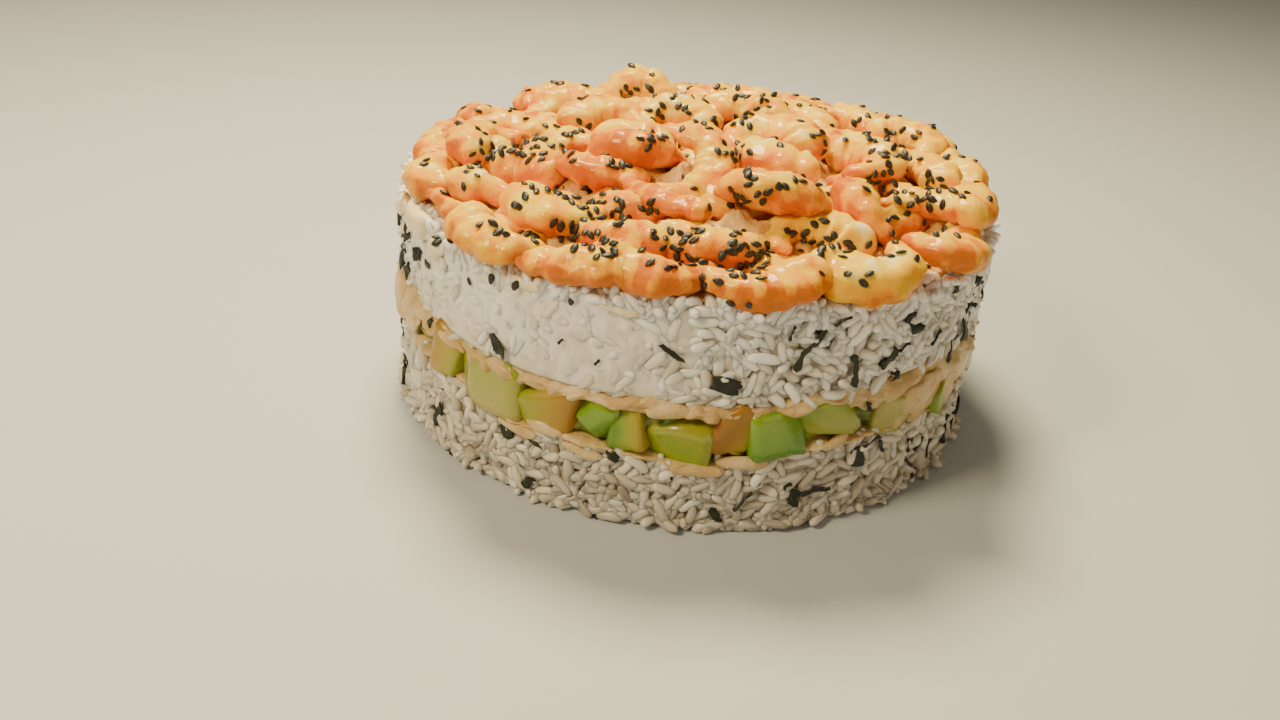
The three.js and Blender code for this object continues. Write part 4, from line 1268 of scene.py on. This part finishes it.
def make_filling():
    """Chunks of avocado and cucumber round a darker middle."""
    rng = np.random.default_rng(RANDOM_START["chunks"])
    low, high = above(LOWER_RICE_HEIGHTS, LOWER_CREAM), above(FILLING_HEIGHTS)
    parts = {"avocado": [], "cucumber": []}
    for chunk in chosen_chunks(rng, random_from(RANDOM_START["chunks at the rim"])):
        angle, width, tilt, kind, above_middle, height, green, reach, cuts = chunk
        depth = min(DEEPEST_CHUNK, CHUNK_DEPTH * width)
        vertices, quads, triangles = chunk_shape(rng, CHUNK_FULLNESS * width, depth, height, cuts)
        if kind == "cucumber":
            across = 0.4 * vertices[:, 2] / height
        else:
            across = 0.8 * vertices[:, 0] / width
        greens = np.clip(green + across * rng.choice([-1, 1]), 0, 1)
        turn = facing(angle + rng.uniform(-CHUNK_TURN, CHUNK_TURN), tilt)
        turn = turn @ rotations(0, 0, rng.uniform(-CHUNK_TIP, CHUNK_TIP))
        middle = (low(angle) + high(angle)) / 2
        place = polar(angle, reach + CHUNK_STANDS_OUT - depth / 2, middle + above_middle)
        parts[kind].append(((vertices @ turn.T + place, quads, triangles), greens))
    materials = {"avocado": avocado_material(), "cucumber": cucumber_material()}
    for kind, made in parts.items():
        skins, greens = zip(*made)
        attributes = {"green": np.concatenate(greens)}
        piece = add_piece(f"{kind}_chunks", joined(skins), materials[kind], attributes)
        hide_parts("avocado_cucumber")
    shadow_stops = [(0.3, "39421a"), (0.5, "6b7a2a"), (0.7, "a9a04e")]
    shadow = speck_material("filling_middle", shadow_stops, 7, 0.4, 0.6)
    rim = (CAKE_RADIUS - 2.5, 1.0, RANDOM_START["filling middle"])
    cream_layer("filling_middle", low, high, *rim, shadow, "filling", "avocado_cucumber")


# ---- seaweed

FLAKE_THICKNESS = 0.35
FLAKE_ROWS = 12
FLAKE_COLUMNS = 5
# Flakes wider than this are less torn.
TORN_WIDTH = 2.5


def flake_shape(rng, width, length):
    """A thin torn strip in the XZ plane, its face towards -Y."""
    torn = min(1, TORN_WIDTH / width)
    drift = np.cumsum(rng.normal(0, 0.12 * torn, FLAKE_ROWS)) * width
    ragged = 1 + torn * rng.uniform(-0.35, 0.1, FLAKE_ROWS)
    ragged[[0, -1]] *= 0.5
    to_right = np.linspace(-0.5, 0.5, FLAKE_COLUMNS)
    across = np.concatenate([to_right, to_right[::-1]])
    face = np.repeat([-0.5, 0.5], FLAKE_COLUMNS)
    rings = []
    for row, along in enumerate(np.linspace(-0.5, 0.5, FLAKE_ROWS)):
        x = across * width * ragged[row] + drift[row]
        y = face * FLAKE_THICKNESS + 0.5 * np.sin(along * 5 + across * 2)
        rings.append(np.stack([x, y, np.full(len(across), along * length)], -1))
    return closed_tube(np.array(rings))


def make_seaweed():
    """Flakes and shreds pressed into the rice, where the photo shows them and strewn behind."""
    rng = np.random.default_rng(RANDOM_START["seaweed"])
    flakes = list(SEAWEED_BEHIND)
    side = surface_of(pieces_named("upper_rice_core", "lower_rice_core", "middle_cream"))
    for x, y, width, length, lean in SEAWEED_IN_VIEW:
        found, _, _, _ = side.ray_cast(CAMERA_PLACE, look_through(x, y))
        if found is not None:
            angle = math.degrees(math.atan2(found.x, -found.y))
            flakes.append((angle, found.z / MM, width, length, lean))
    for _ in range(STRAY_SEAWEED):
        angle = rng.uniform(62, 298)
        z = rng.choice([rng.uniform(3, 19), rng.uniform(44, 61)])
        width = rng.uniform(0.7, 3)
        length = rng.uniform(2.5, 9)
        flakes.append((angle, z, width, length, rng.uniform(-90, 90)))
    skins = []
    for angle, z, width, length, lean in flakes:
        vertices, quads, triangles = flake_shape(rng, width, length)
        turn = facing(angle, lean) @ rotations(0, 0, rng.normal(0, 0.1))
        vertices = vertices @ turn.T + polar(angle, CAKE_RADIUS - 0.1 + rng.uniform(0, 0.6), z)
        vertices[:, 2] -= min(0, vertices[:, 2].min() - 0.1)
        skins.append((vertices, quads, triangles))
    stops = [(0.3, "0e120c"), (0.6, "1d2318"), (0.8, "33392a")]
    material = speck_material("seaweed", stops, 3, 0.55, 0.12)
    piece = add_piece("seaweed_flakes", joined(skins), material)
    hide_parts("rice_top", "rice_bottom")


# ---- sesame

# Stray seeds come from this high above the floor, or from this far outside. A seed that
# would end up lower than the lowest is left out.
FALL_FROM = 150
SEED_LOWEST = 3
# Nor is one laid where its way only grazes the surface, or too near another.
GRAZING = 0.15
SEED_SPACING = 0.85 * SEED_WIDTH
# How many seeds are tried for each one in view, and how far they spread, in pixels.
TRIES_PER_SEED = 1.3
SEED_SPREAD = 2.3


def seed_shape():
    """A flat teardrop along X."""
    stations = (0.44, 0.3, 0.08, -0.2, -0.44)
    girths = (0.36, 0.74, 1.0, 0.84, 0.42)
    return spindle(stations, girths, (0.5, -0.5), SEED_LENGTH, SEED_WIDTH, SEED_HEIGHT, 10)


def pieces_named(*names):
    return [bpy.data.objects[name] for name in names]


def surface_of(pieces):
    """One search tree over the surfaces of several pieces, in metres."""
    vertices, polygons, count = [], [], 0
    for piece in pieces:
        vertices += [vertex.co.copy() for vertex in piece.data.vertices]
        polygons += [[count + corner for corner in polygon.vertices] for polygon in piece.data.polygons]
        count += len(piece.data.vertices)
    return BVHTree.FromPolygons(vertices, polygons)


def rays_for_seeds(rng):
    """Where seeds fall from and which way, in metres: through the photo, from above and outside."""
    rays = []
    for x, y, count in SEEDS_IN_VIEW:
        spread = SEED_SPREAD * math.sqrt(count - 1)
        for _ in range(round(TRIES_PER_SEED * count)):
            way = look_through(x + rng.normal(0, 1.5 * spread), y + rng.normal(0, spread))
            rays.append((CAMERA_PLACE, way))
    for _ in range(STRAY_SEEDS):
        radius = CAKE_RADIUS * math.sqrt(rng.uniform(0, 1))
        turn = rng.uniform(0, 2 * math.pi)
        start = Vector((radius * math.cos(turn), radius * math.sin(turn), FALL_FROM))
        rays.append((start * MM, Vector((0, 0, -1))))
    for _ in range(STRAY_SIDE_SEEDS):
        start = Vector(polar(rng.uniform(70, 290), FALL_FROM, rng.uniform(6, 63)))
        rays.append((start * MM, -Vector((start.x, start.y, 0)).normalized()))
    return rays


def make_seeds(shrimps):
    """Black sesame on the shrimps, in the clusters that the photo shows, and some on the side."""
    rng = np.random.default_rng(RANDOM_START["sesame"])
    names = ("top_cream", "cream_lumps", "middle_cream", "upper_rice_core", "lower_rice_core")
    surface = surface_of(shrimps + pieces_named(*names))
    matrices, places = [], []
    for start, way in rays_for_seeds(rng):
        found, normal, _, _ = surface.ray_cast(start, way)
        if found is None or found.z < SEED_LOWEST * MM or abs(normal @ way) < GRAZING:
            continue
        normal = -normal if normal @ way > 0 else normal
        place = np.array(found) / MM + np.array(normal) * rng.uniform(0.1, 0.35)
        if all(np.linalg.norm(place - other) > SEED_SPACING for other in places):
            matrices.append(lying(normal, rng))
            places.append(place)
    copies, quads, triangles = strewn_copies(seed_shape(), np.array(matrices), np.array(places))
    stops = [(0.3, "17171a"), (0.6, "2b2b2f"), (0.85, "4a4a4e")]
    material = speck_material("black_sesame", stops, 1.2, 0.42, 0.05)
    add_piece("sesame_seeds", (copies.reshape(-1, 3), quads, triangles), material)


def lying(normal, rng):
    """A turn that lays a seed on a surface, a little askew, with a slightly uneven size."""
    normal = Vector(normal) + Vector(rng.normal(0, 0.28, 3))
    spin = Matrix.Rotation(rng.uniform(0, 2 * math.pi), 3, "Z")
    matrix = normal.to_track_quat("Z", "Y").to_matrix() @ spin
    return np.array(matrix) * rng.uniform(0.85, 1.12)


# ---- the whole cake

make_camera()
make_lights()
make_floor()
shrimp_lifts, heap_heights = settle()
shrimps = make_shrimps(shrimp_lifts)
make_creams(heap_heights)
rice = rice_material()
make_lower_rice(rice)
make_upper_rice(rice)
make_filling()
make_seaweed()
make_seeds(shrimps)
